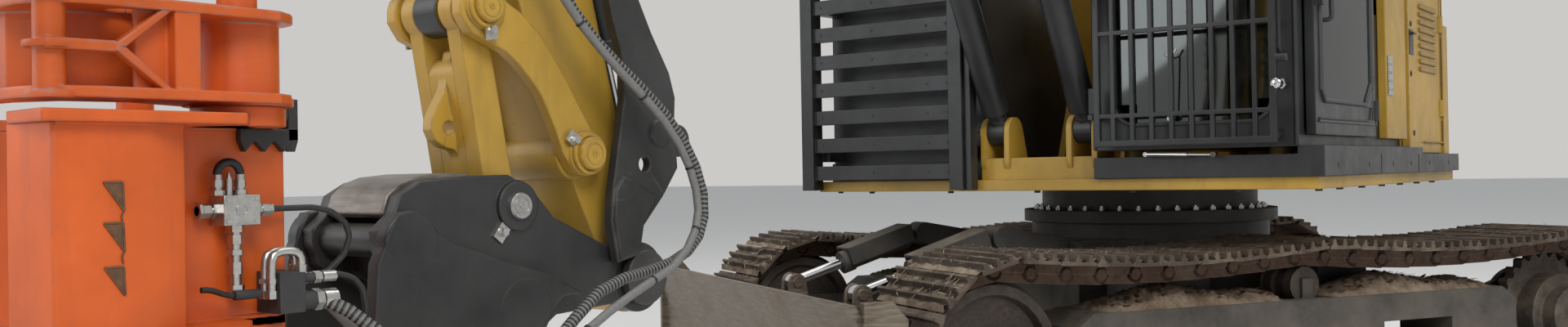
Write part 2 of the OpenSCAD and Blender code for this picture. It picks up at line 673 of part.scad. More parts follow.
module boom() {
    color(yellow) {
        difference() {
            union() {
                band(-boom_half, boom_half) union() {
                    polygon(concat([for (p = boom_top) foot + p], [tip + [-20, tip_h], tip + [-60, -tip_h + 5]],
                        [for (p = boom_low) foot + p]));
                    translate(foot) circle(r = 172);
                    translate(tip) circle(r = tip_h);
                }
                both() axle(tip, tip_h - 10, boom_half, boom_half + 25);
                both() axle(boom_cyl_eye, 80, boom_half - 1, boom_cyl_y - boom_eye_w / 2 - gap);
            }
            axle(tip, slot_r, -stick_half - play, stick_half + play);
            axle(foot, 45 + gap, -boom_w, boom_w);
            axle(tip, 50, -boom_w, boom_w);
        }
        axle(tip, 50, -boom_half - 25, boom_half + 25);
        both() band(stick_eye_w / 2 + play, stick_eye_w / 2 + play + 30)
            bar2([stick_cyl_foot[0] - 10, foot[1] + 2080], stick_cyl_foot, 130, 70);
        axle(stick_cyl_foot, 40, -stick_eye_w / 2 - play - 30, stick_eye_w / 2 + play + 30);
    }
}
module boom_barrels() {
    color(black) both() translate([0, boom_cyl_y, 0])
        ram_barrel(boom_cyl_foot, boom_cyl_eye, boom_barrel_l, boom_cyl_r, boom_rod_r, boom_eye_w, 35);
}
module boom_rods() {
    color(steel) both() translate([0, boom_cyl_y, 0])
        ram_rod(boom_cyl_foot, boom_cyl_eye, boom_rod_l, boom_rod_r, boom_eye_w, 62);
}
module stick_barrel() {
    color(yellow) ram_barrel(stick_cyl_foot, stick_cyl_eye, stick_barrel_l, stick_cyl_r, stick_rod_r, stick_eye_w, 40);
}
module stick_rod() {
    color(steel) ram_rod(stick_cyl_foot, stick_cyl_eye, stick_rod_l, stick_rod_r, stick_eye_w, 68);
}
stick_rows = [[120, 84, -84], [381, 120, -100], [1200, 160, -130], [2000, 182, -190], [2450, 190, -212]];
module stick() {
    color(yellow) difference() {
        union() {
            band(-stick_half, stick_half) union() {
                translate(tool) circle(r = 98);
                translate(tip) circle(r = 190);
                polygon(concat([tool - 30 * lean_up - 80 * lean_out], [for (r = stick_rows) on_stick(r[0], r[2])],
                    [on_stick(stick_l, -150), on_stick(stick_l, 150)],
                    [for (i = [len(stick_rows) - 1 : -1 : 0]) on_stick(stick_rows[i][0], stick_rows[i][1])],
                    [tool - 30 * lean_up + 80 * lean_out]));
                bar2(tip, stick_cyl_eye, 160, 100);
                bar2(on_stick(2330, 140), tool_cyl_pin, 105, 72);
            }
            axle(side_pin, 70, -link_y0 + gap, link_y0 - gap);
        }
        axle(stick_cyl_eye, 370, -stick_eye_w / 2 - play, stick_eye_w / 2 + play);
        axle(tool_cyl_pin, 115, -tool_eye_w / 2 - play, tool_eye_w / 2 + play);
        axle(tip, 50 + gap, -boom_w, boom_w);
        axle(tool, tool_pin_r + gap, -boom_w, boom_w);
    }
    thumb_bracket();
    color(steel) axle(tool_cyl_pin, 35, -tool_eye_w / 2 - play - 1, tool_eye_w / 2 + play + 1);
}
module tool_barrel() {
    color(yellow) ram_barrel(tool_cyl_pin, top_pin, tool_barrel_l, tool_cyl_r, tool_rod_r, tool_eye_w, 35);
}
module tool_rod() {
    color(steel) ram_rod(tool_cyl_pin, top_pin, tool_rod_l, tool_rod_r, tool_eye_w, 62);
}
link_y0 = stick_half + 5;
bow_n = 8;
module side_links() {
    color(yellow) both() {
        band(link_y0, link_y0 + 36) bar2(side_pin, top_pin, 72, 64);
        axle(side_pin, 60, link_y0 + 36, link_y0 + 46);
        axle(top_pin, 54, link_y0 + 36, link_y0 + 46);
    }
    
}
link_half = stick_half - 8;
module power_link() {
    color(yellow) difference() {
        union() {
            both() band(tool_eye_w / 2 + play, link_half) bar2(link_pin, top_pin, 74, 62);
            band(-tool_eye_w / 2 - play - 1, tool_eye_w / 2 + play + 1) bar2(link_pin, link_pin + 0.45 * (top_pin - link_pin), 74, 60);
            band(-18, 18) bar2(link_pin + 0.25 * (top_pin - link_pin), link_pin + 0.3 * (top_pin - link_pin) + [105, 30], 60, 44);
        }
        axle(link_pin, tool_pin_r + gap, -boom_w, boom_w);
        axle(link_pin + 0.3 * (top_pin - link_pin) + [105, 30], 20, -30, 30);
    }
}
ear_y0 = stick_half + play;
ear_y1 = ear_y0 + ear_t;
hook_pins = [on_coupler(753, -212), on_coupler(373, -236)];
module coupler() {
    color(black) difference() {
        union() {
        both() band(ear_y0, ear_y1) union() {
            translate(tool) circle(r = 96);
            translate(link_pin) circle(r = 86);
            polygon([on_coupler(-30, 91), on_coupler(160, 58), on_coupler(420, 70), on_coupler(520, 76),
                on_coupler(720, -40), on_coupler(760, -120), on_coupler(830, -250), on_coupler(760, -300),
                on_coupler(300, -320), on_coupler(240, -180), on_coupler(40, -90)]);
        }
        band(-ear_y0, ear_y0) polygon([on_coupler(330, -180), on_coupler(700, -170), on_coupler(690, -205),
            on_coupler(640, -250), on_coupler(470, -290), on_coupler(310, -260)]);
        }
        for (p = hook_pins) axle(p, 40 + gap, -boom_w, boom_w);
    }
    color(steel) {
        axle(tool, tool_pin_r, -ear_y1 - 12, ear_y1 + 12);
        axle(link_pin, tool_pin_r, -ear_y1 - 12, ear_y1 + 12);
    }
}
module coupler_nose() {
    color(rust) band(-ear_y0, ear_y0) polygon([on_coupler(625, 14), on_coupler(720, -40), on_coupler(800, -60),
        on_coupler(850, -110), on_coupler(840, -200), on_coupler(800, -270), on_coupler(790, -272),
        on_coupler(812, -190), on_coupler(814, -120), on_coupler(780, -88), on_coupler(705, -75),
        on_coupler(612, -12)]);
}
thumb_a = 97;
function on_thumb(a, p) = tool + a * [cos(thumb_a), sin(thumb_a)] + p * [-sin(thumb_a), cos(thumb_a)];
thumb_half = ear_y1 + play;
thumb_plate = 30;
thumb_cyl_foot = on_stick(1720, -230);
thumb_cyl_eye = on_thumb(430, 20);
thumb_cyl_r = 42;
thumb_rod_r = 26;
thumb_barrel_l = 1150;
thumb_rod_l = 1190;
thumb_eye_w = 60;
thumb_teeth = 5;
module thumb() {
    color(black) {
        both() difference() {
            band(thumb_half, thumb_half + thumb_plate) union() {
                translate(tool) circle(r = 92);
                polygon(concat([on_thumb(0, -92), on_thumb(150, -50), on_thumb(thumb_l * 0.7, -30)],
                    [for (i = [0 : thumb_teeth - 1], g = [[0, -30], [0.5, -66]])
                        on_thumb(thumb_l * (0.72 + 0.28 * (i + g[0]) / thumb_teeth), g[1] + 30 * (i + g[0]) / thumb_teeth)],
                    [on_thumb(thumb_l, 45), on_thumb(thumb_l * 0.7, 150), on_thumb(thumb_l * 0.45, 175),
                    on_thumb(200, 120), on_thumb(0, 92)]));
            }
            axle(tool, tool_pin_r + gap, 0, thumb_half + 60);
            axle(on_thumb(330, 40), 40, 0, thumb_half + 60);
        }
        axle(on_thumb(430, 108), 40, -thumb_half, thumb_half);
        axle(on_thumb(620, 90), 36, -thumb_half, thumb_half);
        axle(on_thumb(thumb_l - 190, 40), 36, -thumb_half, thumb_half);
        both() band(thumb_eye_w / 2 + play, thumb_eye_w / 2 + play + 22) bar2(on_thumb(430, 108), thumb_cyl_eye, 44, 36);
    }
}
module thumb_bracket() {
    difference() {
        both() band(thumb_eye_w / 2 + play, thumb_eye_w / 2 + play + 22)
            polygon([on_stick(1560, -148), on_stick(1860, -168), thumb_cyl_foot + [-20, 45], thumb_cyl_foot + [-45, 0], thumb_cyl_foot + [-20, -45]]);
    }
    axle(thumb_cyl_foot, 22, -thumb_eye_w / 2 - play - 22, thumb_eye_w / 2 + play + 22);
}
module thumb_barrel() {
    color(black) ram_barrel(thumb_cyl_foot, thumb_cyl_eye, thumb_barrel_l, thumb_cyl_r, thumb_rod_r, thumb_eye_w, 22);
}
module thumb_rod() {
    color(steel) ram_rod(thumb_cyl_foot, thumb_cyl_eye, thumb_rod_l, thumb_rod_r, thumb_eye_w, 33);
}
mount_y0 = ear_y1 + 5;
mount_t = 40;
module head_mount() {
    color(black) {
        both() difference() {
            band(mount_y0, mount_y0 + mount_t) union() {
                for (p = hook_pins) translate(p) circle(r = 88);
                polygon([hook_pins[1] + [-60, 62], hook_pins[0] + [-30, 82], hook_pins[0] + [70, 52],
                    [head_x, waist_z - 60], [head_x, 330], [head_x - 330, 420], hook_pins[1] + [-60, -64]]);
            }
        }
        for (p = hook_pins) axle(p, 40, -mount_y0, mount_y0);
        translate([head_x - 36, -mount_y0 - mount_t - 60, 330]) cube([35.7, 2 * (mount_y0 + mount_t + 60), waist_z - 390]);
    }
}
back_half = head_half - 80;
throat_r = 215;
module head_column() {
    color(orange) difference() {
        union() {
            translate([head_x, -back_half, head_base_z + 260]) cube([head_back_l, 2 * back_half, head_column_z - head_base_z - 260]);
            translate([head_x + head_back_l - 1, -head_half - 60, head_base_z + 260])
                cube([head_front_l + 1, head_w + 120, head_column_z - head_base_z - 260]);
            translate([head_x - 0, -head_half - 90, head_base_z + 30]) cube([head_back_l + head_front_l + 30, head_w + 180, 250]);
            translate([head_x + 0, -head_half - 75, waist_z - flange_t]) cube([head_back_l + head_front_l + 30, head_w + 150, flange_t]);
            translate([head_x, -head_half - 75, head_column_z]) cube([head_back_l + head_front_l + 40, head_w + 150, flange_t]);
            both() translate([head_x + 150, back_half + 20, head_column_z]) {
                cylinder(r = pivot_r - 30, h = 420);
                cylinder(r = pivot_r + 26, h = flange_t + 12);
            }
        }
        translate([head_x + head_back_l + head_front_l + 60, 0, -1]) cylinder(r = throat_r, h = 2000, $fn = 64);
    }
}
arm_pin = [head_x + 150, back_half + 20];
arm_z = head_column_z + flange_t + 12 + gap;
arm_h = 118;
module clamp_arm(z, n) {
    difference() {
        union() {
            translate([arm_pin[0], arm_pin[1], z]) cylinder(r = pivot_r, h = arm_h);
            for (k = [0, arm_h - clamp_t]) translate([0, 0, z + k]) linear_extrude(clamp_t) difference() {
                polygon([arm_pin + [-90, -30], arm_pin + [-60, 110], arm_pin + [180, 150], arm_pin + [420, 140],
                    arm_pin + [560, 60], arm_pin + [600, -80], arm_pin + [585, -230], arm_pin + [545, -225],
                    arm_pin + [525, -110], arm_pin + [440, -10], arm_pin + [240, 10], arm_pin + [60, -80]]);
                translate(arm_pin + [300, 80]) circle(r = 38);
            }
            translate([0, 0, z + clamp_t]) linear_extrude(arm_h - 2 * clamp_t) polygon([arm_pin + [200, 30],
                arm_pin + [430, 20], arm_pin + [530, -80], arm_pin + [560, -215], arm_pin + [530, -215],
                arm_pin + [500, -100], arm_pin + [415, -5], arm_pin + [200, 10]]);
        }
        translate([arm_pin[0], arm_pin[1], z - 1]) cylinder(r = pivot_r - 30 + gap, h = arm_h + 2);
    }
}
module arm_left() { color(orange) clamp_arm(arm_z, 0); }
module arm_right() { color(orange) mirror([0, 1, 0]) clamp_arm(arm_z + arm_h + 20, 1); }
module head_bumper() {
    color(black) translate([head_x - 22, 0, 0]) rotate([90, 0, 90]) linear_extrude(22 - gap)
        polygon(concat([[-back_half, head_column_z + 100], [-back_half, head_column_z - 50]],
            [for (i = [0 : 8], g = [0, 1]) [-back_half + 20 + (i + g / 2) * 42, head_column_z - 50 - g * 22]],
            [[back_half, head_column_z - 50], [back_half, head_column_z + 100]]));
}
module valve_block() {
    color(steel) translate([head_x + 160, back_half + gap, head_column_z - 152]) {
        translate([-38, 0, -30]) cube([76, 60, 60]);
        for (x = [-24, 0, 24]) translate([x, 30, 30]) cylinder(r = 9, h = 42);
        for (s = [-1, 1]) translate([s * 38, 30, 0]) rotate([0, s * 90, 0]) cylinder(r = 9, h = 40);
        translate([-12, 30, -170]) cylinder(r = 11, h = 140);
    }
}
module shear_blade() {
    color(steel) translate([head_x + 60, -head_half - 60, head_base_z]) difference() {
        cube([head_back_l + head_front_l - 40, head_w + 120, 30 - gap]);
        translate([head_back_l + head_front_l, head_half + 60, -1]) cylinder(r = throat_r - 10, h = 40);
    }
}

// Reach of the machine each way, from which its middle follows
track_end = max([for (p = tread) -p[0]]);
reach_front = arm_pin[0] + 600;
reach_back = track_end * cos(swing_rest) + (track_in + shoe_w / 2) * sin(swing_rest);
reach_left = track_end * sin(swing_rest) + (track_in + shoe_w / 2) * cos(swing_rest);
reach_right = (blade_u + 60) * sin(swing_rest) + (blade_w / 2 + 30) * cos(swing_rest);
shift_x = (reach_back - reach_front) / 2;
shift_y = (reach_right - reach_left) / 2;
translate([shift_x, shift_y, 0]) {
    carbody();
    track_frames();
    track_left();
    track_right();
    idlers();
    sprockets();
    final_drives();
    rollers();
    blade();
    blade_barrels();
    blade_rods();
    slew_ring();
    house_frame();
    deck_beams();
    counterweight();
    engine_block();
    engine_hood();
    service_door();
    right_body();
    slat_guard();
    cab_shell();
    cab_glass();
    seat();
    cab_door();
    mesh_guard();
    boom();
    boom_barrels();
    boom_rods();
    stick_barrel();
    stick_rod();
    stick();
    tool_barrel();
    tool_rod();
    side_links();
    power_link();
    coupler();
    coupler_nose();
    thumb();
    thumb_barrel();
    thumb_rod();
    head_mount();
    head_column();
    head_bumper();
    valve_block();
    arm_left();
    arm_right();
    shear_blade();
}
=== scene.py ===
"""Looks of the forestry excavator: finer forms, soil, hoses, materials, light and camera.

Metres, in the frame's own axes. A point given as a plain (x, y, z) lies in the house's axes:
x ahead, y to the left, z up, from the swing axis at the floor. A Vector is a frame point already.
"""
import json
import math
import random

import bmesh
import bpy
from mathutils import Matrix, Vector


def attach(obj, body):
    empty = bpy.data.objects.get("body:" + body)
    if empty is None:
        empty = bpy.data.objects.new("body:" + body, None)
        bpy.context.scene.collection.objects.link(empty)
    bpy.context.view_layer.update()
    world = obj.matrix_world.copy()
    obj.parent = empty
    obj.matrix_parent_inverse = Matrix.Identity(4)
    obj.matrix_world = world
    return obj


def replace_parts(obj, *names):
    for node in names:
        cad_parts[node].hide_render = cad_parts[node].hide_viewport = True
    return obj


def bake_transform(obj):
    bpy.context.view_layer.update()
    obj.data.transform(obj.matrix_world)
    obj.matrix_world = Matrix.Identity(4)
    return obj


random.seed(7)
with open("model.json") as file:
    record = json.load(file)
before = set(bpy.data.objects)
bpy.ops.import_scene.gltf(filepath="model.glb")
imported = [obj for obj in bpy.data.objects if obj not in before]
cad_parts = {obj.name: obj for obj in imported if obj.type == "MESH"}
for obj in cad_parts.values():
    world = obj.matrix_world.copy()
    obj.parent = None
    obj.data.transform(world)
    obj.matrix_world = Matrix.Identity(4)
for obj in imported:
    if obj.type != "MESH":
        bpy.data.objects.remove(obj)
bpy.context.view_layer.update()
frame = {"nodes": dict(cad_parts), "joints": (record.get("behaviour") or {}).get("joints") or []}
NODE = frame["nodes"]
JOINT = {j["name"]: j for j in frame["joints"]}
SWING = Vector(JOINT["swing"]["pos_m"])
TURN = math.radians(30)  # the house over the tracks
X, Y, Z = Vector((1, 0, 0)), Vector((0, 1, 0)), Vector((0, 0, 1))
UX = Vector((math.cos(TURN), -math.sin(TURN), 0))  # the undercarriage's way ahead
UY = Vector((math.sin(TURN), math.cos(TURN), 0))  # and its left
SIDES = ((1.0, "left"), (-1.0, "right"))


def house(x, y, z):
    return Vector((SWING.x + x, SWING.y + y, z))


def at(p):
    """Frame point of a plain house point."""
    return p if isinstance(p, Vector) else house(*p)


def under(u, v, z):
    """Frame point of a place on the undercarriage: u ahead, v to the left."""
    c, s = math.cos(TURN), math.sin(TURN)
    return Vector((SWING.x + u * c + v * s, SWING.y - u * s + v * c, z))


# Materials
class Graph:
    """Nodes of one material. A socket takes a value, a colour or another node's output."""

    def __init__(self, name):
        self.mat = bpy.data.materials.new(name)
        self.mat.use_nodes = True
        self.t = self.mat.node_tree
        self.t.nodes.clear()
        self.coord = self.n("ShaderNodeTexCoord")
        self.geo = self.n("ShaderNodeNewGeometry")

    def n(self, kind, inputs=None, **props):
        node = self.t.nodes.new(kind)
        for k, v in props.items():
            setattr(node, k, v)
        for k, v in (inputs or {}).items():
            self.put(node.inputs[k], v)
        return node

    def put(self, socket, v):
        if isinstance(v, bpy.types.NodeSocket):
            self.t.links.new(v, socket)
        else:
            socket.default_value = (*v, 1) if socket.type == "RGBA" else v

    def place(self, scale=(1, 1, 1)):
        return self.n("ShaderNodeMapping",
                      {"Vector": self.coord.outputs["Object"], "Scale": scale}).outputs[0]

    def noise(self, scale, detail=4.0, rough=0.55, stretch=None):
        v = self.place(stretch) if stretch else self.coord.outputs["Object"]
        return self.n("ShaderNodeTexNoise",
                      {"Vector": v, "Scale": scale, "Detail": detail, "Roughness": rough}).outputs["Fac"]

    def ramp(self, v, lo, hi, a=0.0, b=1.0):
        return self.n("ShaderNodeMapRange",
                      {"Value": v, "From Min": lo, "From Max": hi, "To Min": a, "To Max": b}).outputs[0]

    def math(self, op, a, b=0.0):
        m = self.n("ShaderNodeMath", operation=op)
        self.put(m.inputs[0], a)
        self.put(m.inputs[1], b)
        return m.outputs[0]

    def mul(self, a, b):
        return self.math("MULTIPLY", a, b)

    def mix(self, fac, a, b):
        m = self.n("ShaderNodeMix", data_type="RGBA")
        self.put(m.inputs[0], fac)
        self.put(m.inputs[6], a)
        self.put(m.inputs[7], b)
        return m.outputs[2]

    def edges(self, radius=0.008):
        """Rounded normal, and how near an edge is."""
        b = self.n("ShaderNodeBevel", {"Radius": radius}, samples=4)
        d = self.n("ShaderNodeVectorMath", operation="DOT_PRODUCT")
        self.put(d.inputs[0], b.outputs[0])
        self.put(d.inputs[1], self.geo.outputs["Normal"])
        return b.outputs[0], self.ramp(d.outputs["Value"], 0.985, 0.86)

    def up_part(self, source, lo, hi):
        return self.ramp(self.n("ShaderNodeSeparateXYZ", {"Vector": source}).outputs[2], lo, hi)

    def upward(self, lo=0.3, hi=0.95):
        return self.up_part(self.geo.outputs["Normal"], lo, hi)

    def height(self, lo, hi):
        return self.up_part(self.coord.outputs["Object"], lo, hi)

    def end(self, color, rough, metal=0.0, bump=None, strength=0.1, distance=0.002, normal=None, **rest):
        s = self.n("ShaderNodeBsdfPrincipled")
        self.put(s.inputs["Base Color"], color)
        self.put(s.inputs["Roughness"], rough)
        self.put(s.inputs["Metallic"], metal)
        for k, v in rest.items():
            self.put(s.inputs[k.replace("_", " ")], v)
        if bump is not None:
            b = self.n("ShaderNodeBump", {"Strength": strength, "Distance": distance, "Height": bump})
            if normal is not None:
                self.put(b.inputs["Normal"], normal)
            self.put(s.inputs["Normal"], b.outputs[0])
        elif normal is not None:
            self.put(s.inputs["Normal"], normal)
        return self.close(s)

    def close(self, shader):
        out = self.n("ShaderNodeOutputMaterial")
        self.put(out.inputs[0], shader.outputs[0])
        return self.mat

    def blend(self, fac, a, b):
        m = self.n("ShaderNodeMixShader")
        for socket, v in zip(m.inputs, (fac, a.outputs[0], b.outputs[0])):
            self.put(socket, v)
        return m


DUST = (0.27, 0.225, 0.165)
PRIMER = (0.1, 0.075, 0.055)


def shade(base, k, plus=0.0):
    return tuple(min(1, c * k + plus) for c in base)


def painted(name, base, rough=0.42, dust=0.35, wear=0.6, low=1.3, bare=PRIMER, fade=0.12, metal=0.0):
    g = Graph(name)
    bevel, edge = g.edges()
    blotch = g.noise(2.3, 6, 0.6)
    fine = g.noise(55, 5, 0.6)
    mid = g.noise(11, 5, 0.65)
    drips = g.noise(7, 4, 0.6, stretch=(3, 3, 0.35))
    darker = tuple(c * (1 - fade) * 0.9 for c in base)
    col = g.mix(g.ramp(blotch, 0.35, 0.65), darker, shade(base, 1 + fade, 0.012))
    col = g.mix(g.mul(g.ramp(drips, 0.52, 0.72), 0.35), col, shade(base, 0.55, 0.02))
    scratch = g.ramp(g.noise(34, 3, 0.5, stretch=(0.5, 0.5, 7)), 0.66, 0.72)
    scratch = g.mul(scratch, g.ramp(mid, 0.45, 0.62))
    chips = g.mul(g.ramp(edge, 0.25, 0.75), g.ramp(mid, 0.44, 0.58))
    spots = g.ramp(g.noise(70, 3, 0.5), 0.74, 0.78)
    worn = g.math("MAXIMUM", g.math("MAXIMUM", chips, g.mul(scratch, 0.55)), g.mul(spots, 0.6))
    worn = g.mul(worn, wear)
    col = g.mix(worn, col, bare)
    settle = g.mul(g.upward(), g.ramp(mid, 0.35, 0.7, 0.35, 1.0))
    lowdirt = g.mul(g.height(low, 0.15), g.ramp(blotch, 0.4, 0.62, 0.15, 0.9))
    haze = g.ramp(fine, 0.2, 0.9, 0.0, 0.16)
    dirt = g.math("ADD", g.math("MAXIMUM", settle, lowdirt), haze)
    dirt = g.mul(g.math("MINIMUM", dirt, 1.0), dust)
    col = g.mix(dirt, col, DUST)
    r = g.math("ADD", g.ramp(mid, 0.3, 0.7, rough - 0.06, rough + 0.08), g.mul(dirt, 0.45))
    bump = g.math("SUBTRACT", g.mul(fine, 0.35), g.mul(worn, 0.6))
    return g.end(col, r, metal, bump, 0.25, 0.0015, bevel)


def earthy(name, dark, tan, rough=0.78, amount=0.5, shine=0.25, metal=0.25):
    g = Graph(name)
    bevel, edge = g.edges(0.006)
    mid = g.noise(9, 6, 0.65)
    fine = g.noise(60, 5, 0.6)
    big = g.noise(2.6, 5, 0.6)
    col = g.mix(g.ramp(fine, 0.3, 0.7), dark, shade(dark, 1.9))
    cover = g.math("MAXIMUM", g.mul(g.upward(-0.1, 0.8), 0.9), g.ramp(big, 0.42, 0.6))
    cover = g.mul(cover, g.ramp(mid, 0.38, 0.6))
    col = g.mix(g.mul(cover, amount), col, tan)
    polish = g.mul(g.ramp(edge, 0.3, 0.9), g.ramp(mid, 0.4, 0.55))
    col = g.mix(g.mul(polish, shine), col, (0.3, 0.28, 0.26))
    r = g.math("SUBTRACT", rough, g.mul(polish, 0.35))
    return g.end(col, r, metal, g.math("ADD", fine, mid), 0.5, 0.004, bevel)


def rubbed(name, base, streak, rough=0.38, metal=0.75):
    g = Graph(name)
    bevel = g.edges(0.006)[0]
    lines = g.noise(9, 5, 0.6, stretch=(1, 1, 9))
    mid = g.noise(6, 6, 0.65)
    fine = g.noise(70, 4, 0.6)
    col = g.mix(g.ramp(lines, 0.35, 0.68), base, streak)
    col = g.mix(g.mul(g.ramp(mid, 0.5, 0.7), 0.6), col, (0.13, 0.075, 0.045))
    col = g.mix(g.mul(g.height(0.75, 0.1), 0.35), col, DUST)
    r = g.ramp(lines, 0.3, 0.7, rough, rough + 0.22)
    return g.end(col, r, metal, g.math("ADD", lines, g.mul(fine, 0.3)), 0.18, 0.002, bevel)


def plain(name, base, rough=0.5, metal=0.0, grain=90, spread=0.12, **rest):
    g = Graph(name)
    v = g.noise(grain, 4, 0.6)
    col = g.mix(g.ramp(v, 0.3, 0.7), shade(base, 1 - spread), shade(base, 1 + spread))
    r = g.ramp(v, 0.3, 0.7, max(0.03, rough - 0.05), rough + 0.05)
    return g.end(col, r, metal, v, 0.12, 0.001, **rest)


def glazing(name, tint, reflect=0.16):
    g = Graph(name)
    smear = g.noise(14, 5, 0.6)
    lw = g.n("ShaderNodeLayerWeight", {"Blend": 0.35}).outputs["Fresnel"]
    clear = g.n("ShaderNodeBsdfTransparent", {"Color": tint})
    gloss = g.n("ShaderNodeBsdfGlossy", {"Color": (0.75, 0.82, 0.8), "Roughness": 0.04})
    film = g.n("ShaderNodeBsdfDiffuse", {"Color": (0.16, 0.155, 0.135)})
    fac = g.math("MINIMUM", g.math("ADD", g.mul(lw, 0.8), reflect), 1.0)
    pane = g.blend(fac, clear, gloss)
    return g.close(g.blend(g.ramp(smear, 0.45, 0.8, 0.02, 0.16), pane, film))


M = {
    "yellow": painted("machine_yellow", (0.46, 0.275, 0.03), 0.38, 0.2, 0.6),
    "orange": painted("head_orange", (0.66, 0.105, 0.005), 0.36, 0.07, 0.8, bare=(0.16, 0.12, 0.1), low=0.6),
    "black": painted("machine_black", (0.01, 0.0115, 0.0135), 0.36, 0.13, 0.35, bare=(0.1, 0.09, 0.08),
                     fade=0.3),
    "dusty_black": painted("dusty_black", (0.02, 0.02, 0.021), 0.5, 0.62, 0.4, bare=(0.09, 0.08, 0.07),
                           fade=0.3, low=1.0),
    "thumb": painted("thumb_steel", (0.022, 0.0235, 0.025), 0.36, 0.24, 0.6, bare=(0.16, 0.15, 0.14),
                     fade=0.3),
    "arm": painted("arm_orange", (0.6, 0.098, 0.006), 0.38, 0.07, 1.0, bare=(0.25, 0.24, 0.23), low=0.6),
    "grey": painted("dark_grey", (0.028, 0.03, 0.033), 0.5, 0.3, 0.4, bare=(0.12, 0.11, 0.1)),
    "track": earthy("track_steel", (0.05, 0.035, 0.027), (0.235, 0.19, 0.135), amount=0.75),
    "wheels": earthy("wheel_steel", (0.045, 0.036, 0.03), (0.2, 0.165, 0.12), amount=0.6),
    "chain": earthy("chain_steel", (0.06, 0.033, 0.021), (0.2, 0.15, 0.1), amount=0.4),
    "worn": rubbed("worn_plate", (0.13, 0.1, 0.075), (0.27, 0.235, 0.19)),
    "nose": rubbed("worn_nose", (0.17, 0.155, 0.14), (0.34, 0.31, 0.28), 0.34, 0.7),
    "chrome": plain("rod_chrome", (0.62, 0.63, 0.65), 0.12, 1.0, 30, 0.05),
    "steel": plain("plain_steel", (0.42, 0.42, 0.41), 0.34, 0.9, 60, 0.15),
    "zinc": plain("zinc_fitting", (0.5, 0.5, 0.48), 0.3, 0.95, 80, 0.12),
    "iron": plain("cast_iron", (0.05, 0.05, 0.052), 0.7, 0.3, 40, 0.2),
    "rubber": plain("hose_rubber", (0.016, 0.016, 0.017), 0.48, 0.0, 120, 0.25),
    "grey_hose": plain("hose_guard_grey", (0.17, 0.17, 0.165), 0.55, 0.0, 120, 0.15),
    "seat": plain("seat_fabric", (0.02, 0.021, 0.024), 0.85, 0.0, 400, 0.4),
    "plastic": plain("cab_plastic", (0.035, 0.036, 0.038), 0.55, 0.0, 150, 0.15),
    "screen": plain("screen_glass", (0.01, 0.014, 0.02), 0.08, 0.0, 10, 0.05),
    "lens": plain("lamp_lens", (0.75, 0.77, 0.78), 0.08, 0.0, 40, 0.05, Coat_Weight=1.0),
    "red": plain("lamp_red", (0.45, 0.012, 0.01), 0.2, 0.0, 40, 0.08),
    "glass": glazing("cab_glazing", (0.085, 0.105, 0.1), 0.09),
    "pane": plain("door_pane", (0.016, 0.021, 0.02), 0.1, 0.0, 30, 0.05, IOR=1.2),
    "weld": plain("weld_marks", (0.16, 0.085, 0.045), 0.7, 0.4, 60, 0.3),
    "seal": plain("window_rubber", (0.045, 0.047, 0.05), 0.42, 0.0, 90, 0.12),
    # darker copy of the machine yellow, for louvres and seams: painted shade
    "yellow_painted_shade": painted("shadowed_yellow", (0.33, 0.19, 0.02), 0.45, 0.4, 0.5),
    "straw": plain("dry_grass", (0.52, 0.4, 0.25), 0.9, 0.0, 20, 0.35),
    "leaf": plain("dry_leaves", (0.21, 0.105, 0.05), 0.85, 0.0, 12, 0.4),
    "soil": earthy("packed_soil", (0.1, 0.068, 0.044), (0.36, 0.29, 0.21), 0.95, 0.8, 0.0, 0.0),
}

# material of each CAD node
LOOK = {
    "dusty_black": "carbody track_frames blade_barrels slew_ring",
    "wheels": "idlers sprockets final_drives rollers",
    "track": "track_left track_right",
    "worn": "blade",
    "chrome": "blade_rods boom_rods stick_rod tool_rod thumb_rod",
    "yellow": "house_frame counterweight engine_hood service_door boom stick_barrel stick tool_barrel "
              "side_links power_link",
    "black": "deck_beams right_body slat_guard cab_shell cab_door mesh_guard boom_barrels coupler thumb "
             "thumb_barrel head_mount",
    "orange": "head_column arm_left arm_right",
    "nose": "coupler_nose shear_blade",
    "iron": "engine_block", "glass": "cab_glass", "seat": "seat", "grey": "head_bumper",
    "zinc": "valve_block",
}
for look, names in LOOK.items():
    for n in names.split():
        NODE[n].data.materials.clear()
        NODE[n].data.materials.append(M[look])


# Mesh tools
def around(c, x, y, r, n):
    """Circle of n points about c."""
    return [c + r * (math.cos(a) * x + math.sin(a) * y) for a in (2 * math.pi * i / n for i in range(n))]


def belts(rows, n, closed=False):
    """Quads between rows of n points each."""
    return [(j * n + i, j * n + (i + 1) % n, (j + 1) % rows * n + (i + 1) % n, (j + 1) % rows * n + i)
            for j in range(rows if closed else rows - 1) for i in range(n)]


def caps_of(rows, n):
    return [tuple(range(n))[::-1], tuple(range((rows - 1) * n, rows * n))]


def cross_axes(axis):
    z = Vector(axis).normalized()
    x = z.orthogonal().normalized()
    return x, z.cross(x), z


def oblong(w, h):
    """Outline of a rectangle from its corner."""
    return [(0, 0), (w, 0), (w, h), (0, h)]


def centred(w, h):
    """Outline of a rectangle about its centre, from half its sizes."""
    return [(-w, -h), (w, -h), (w, h), (-w, h)]


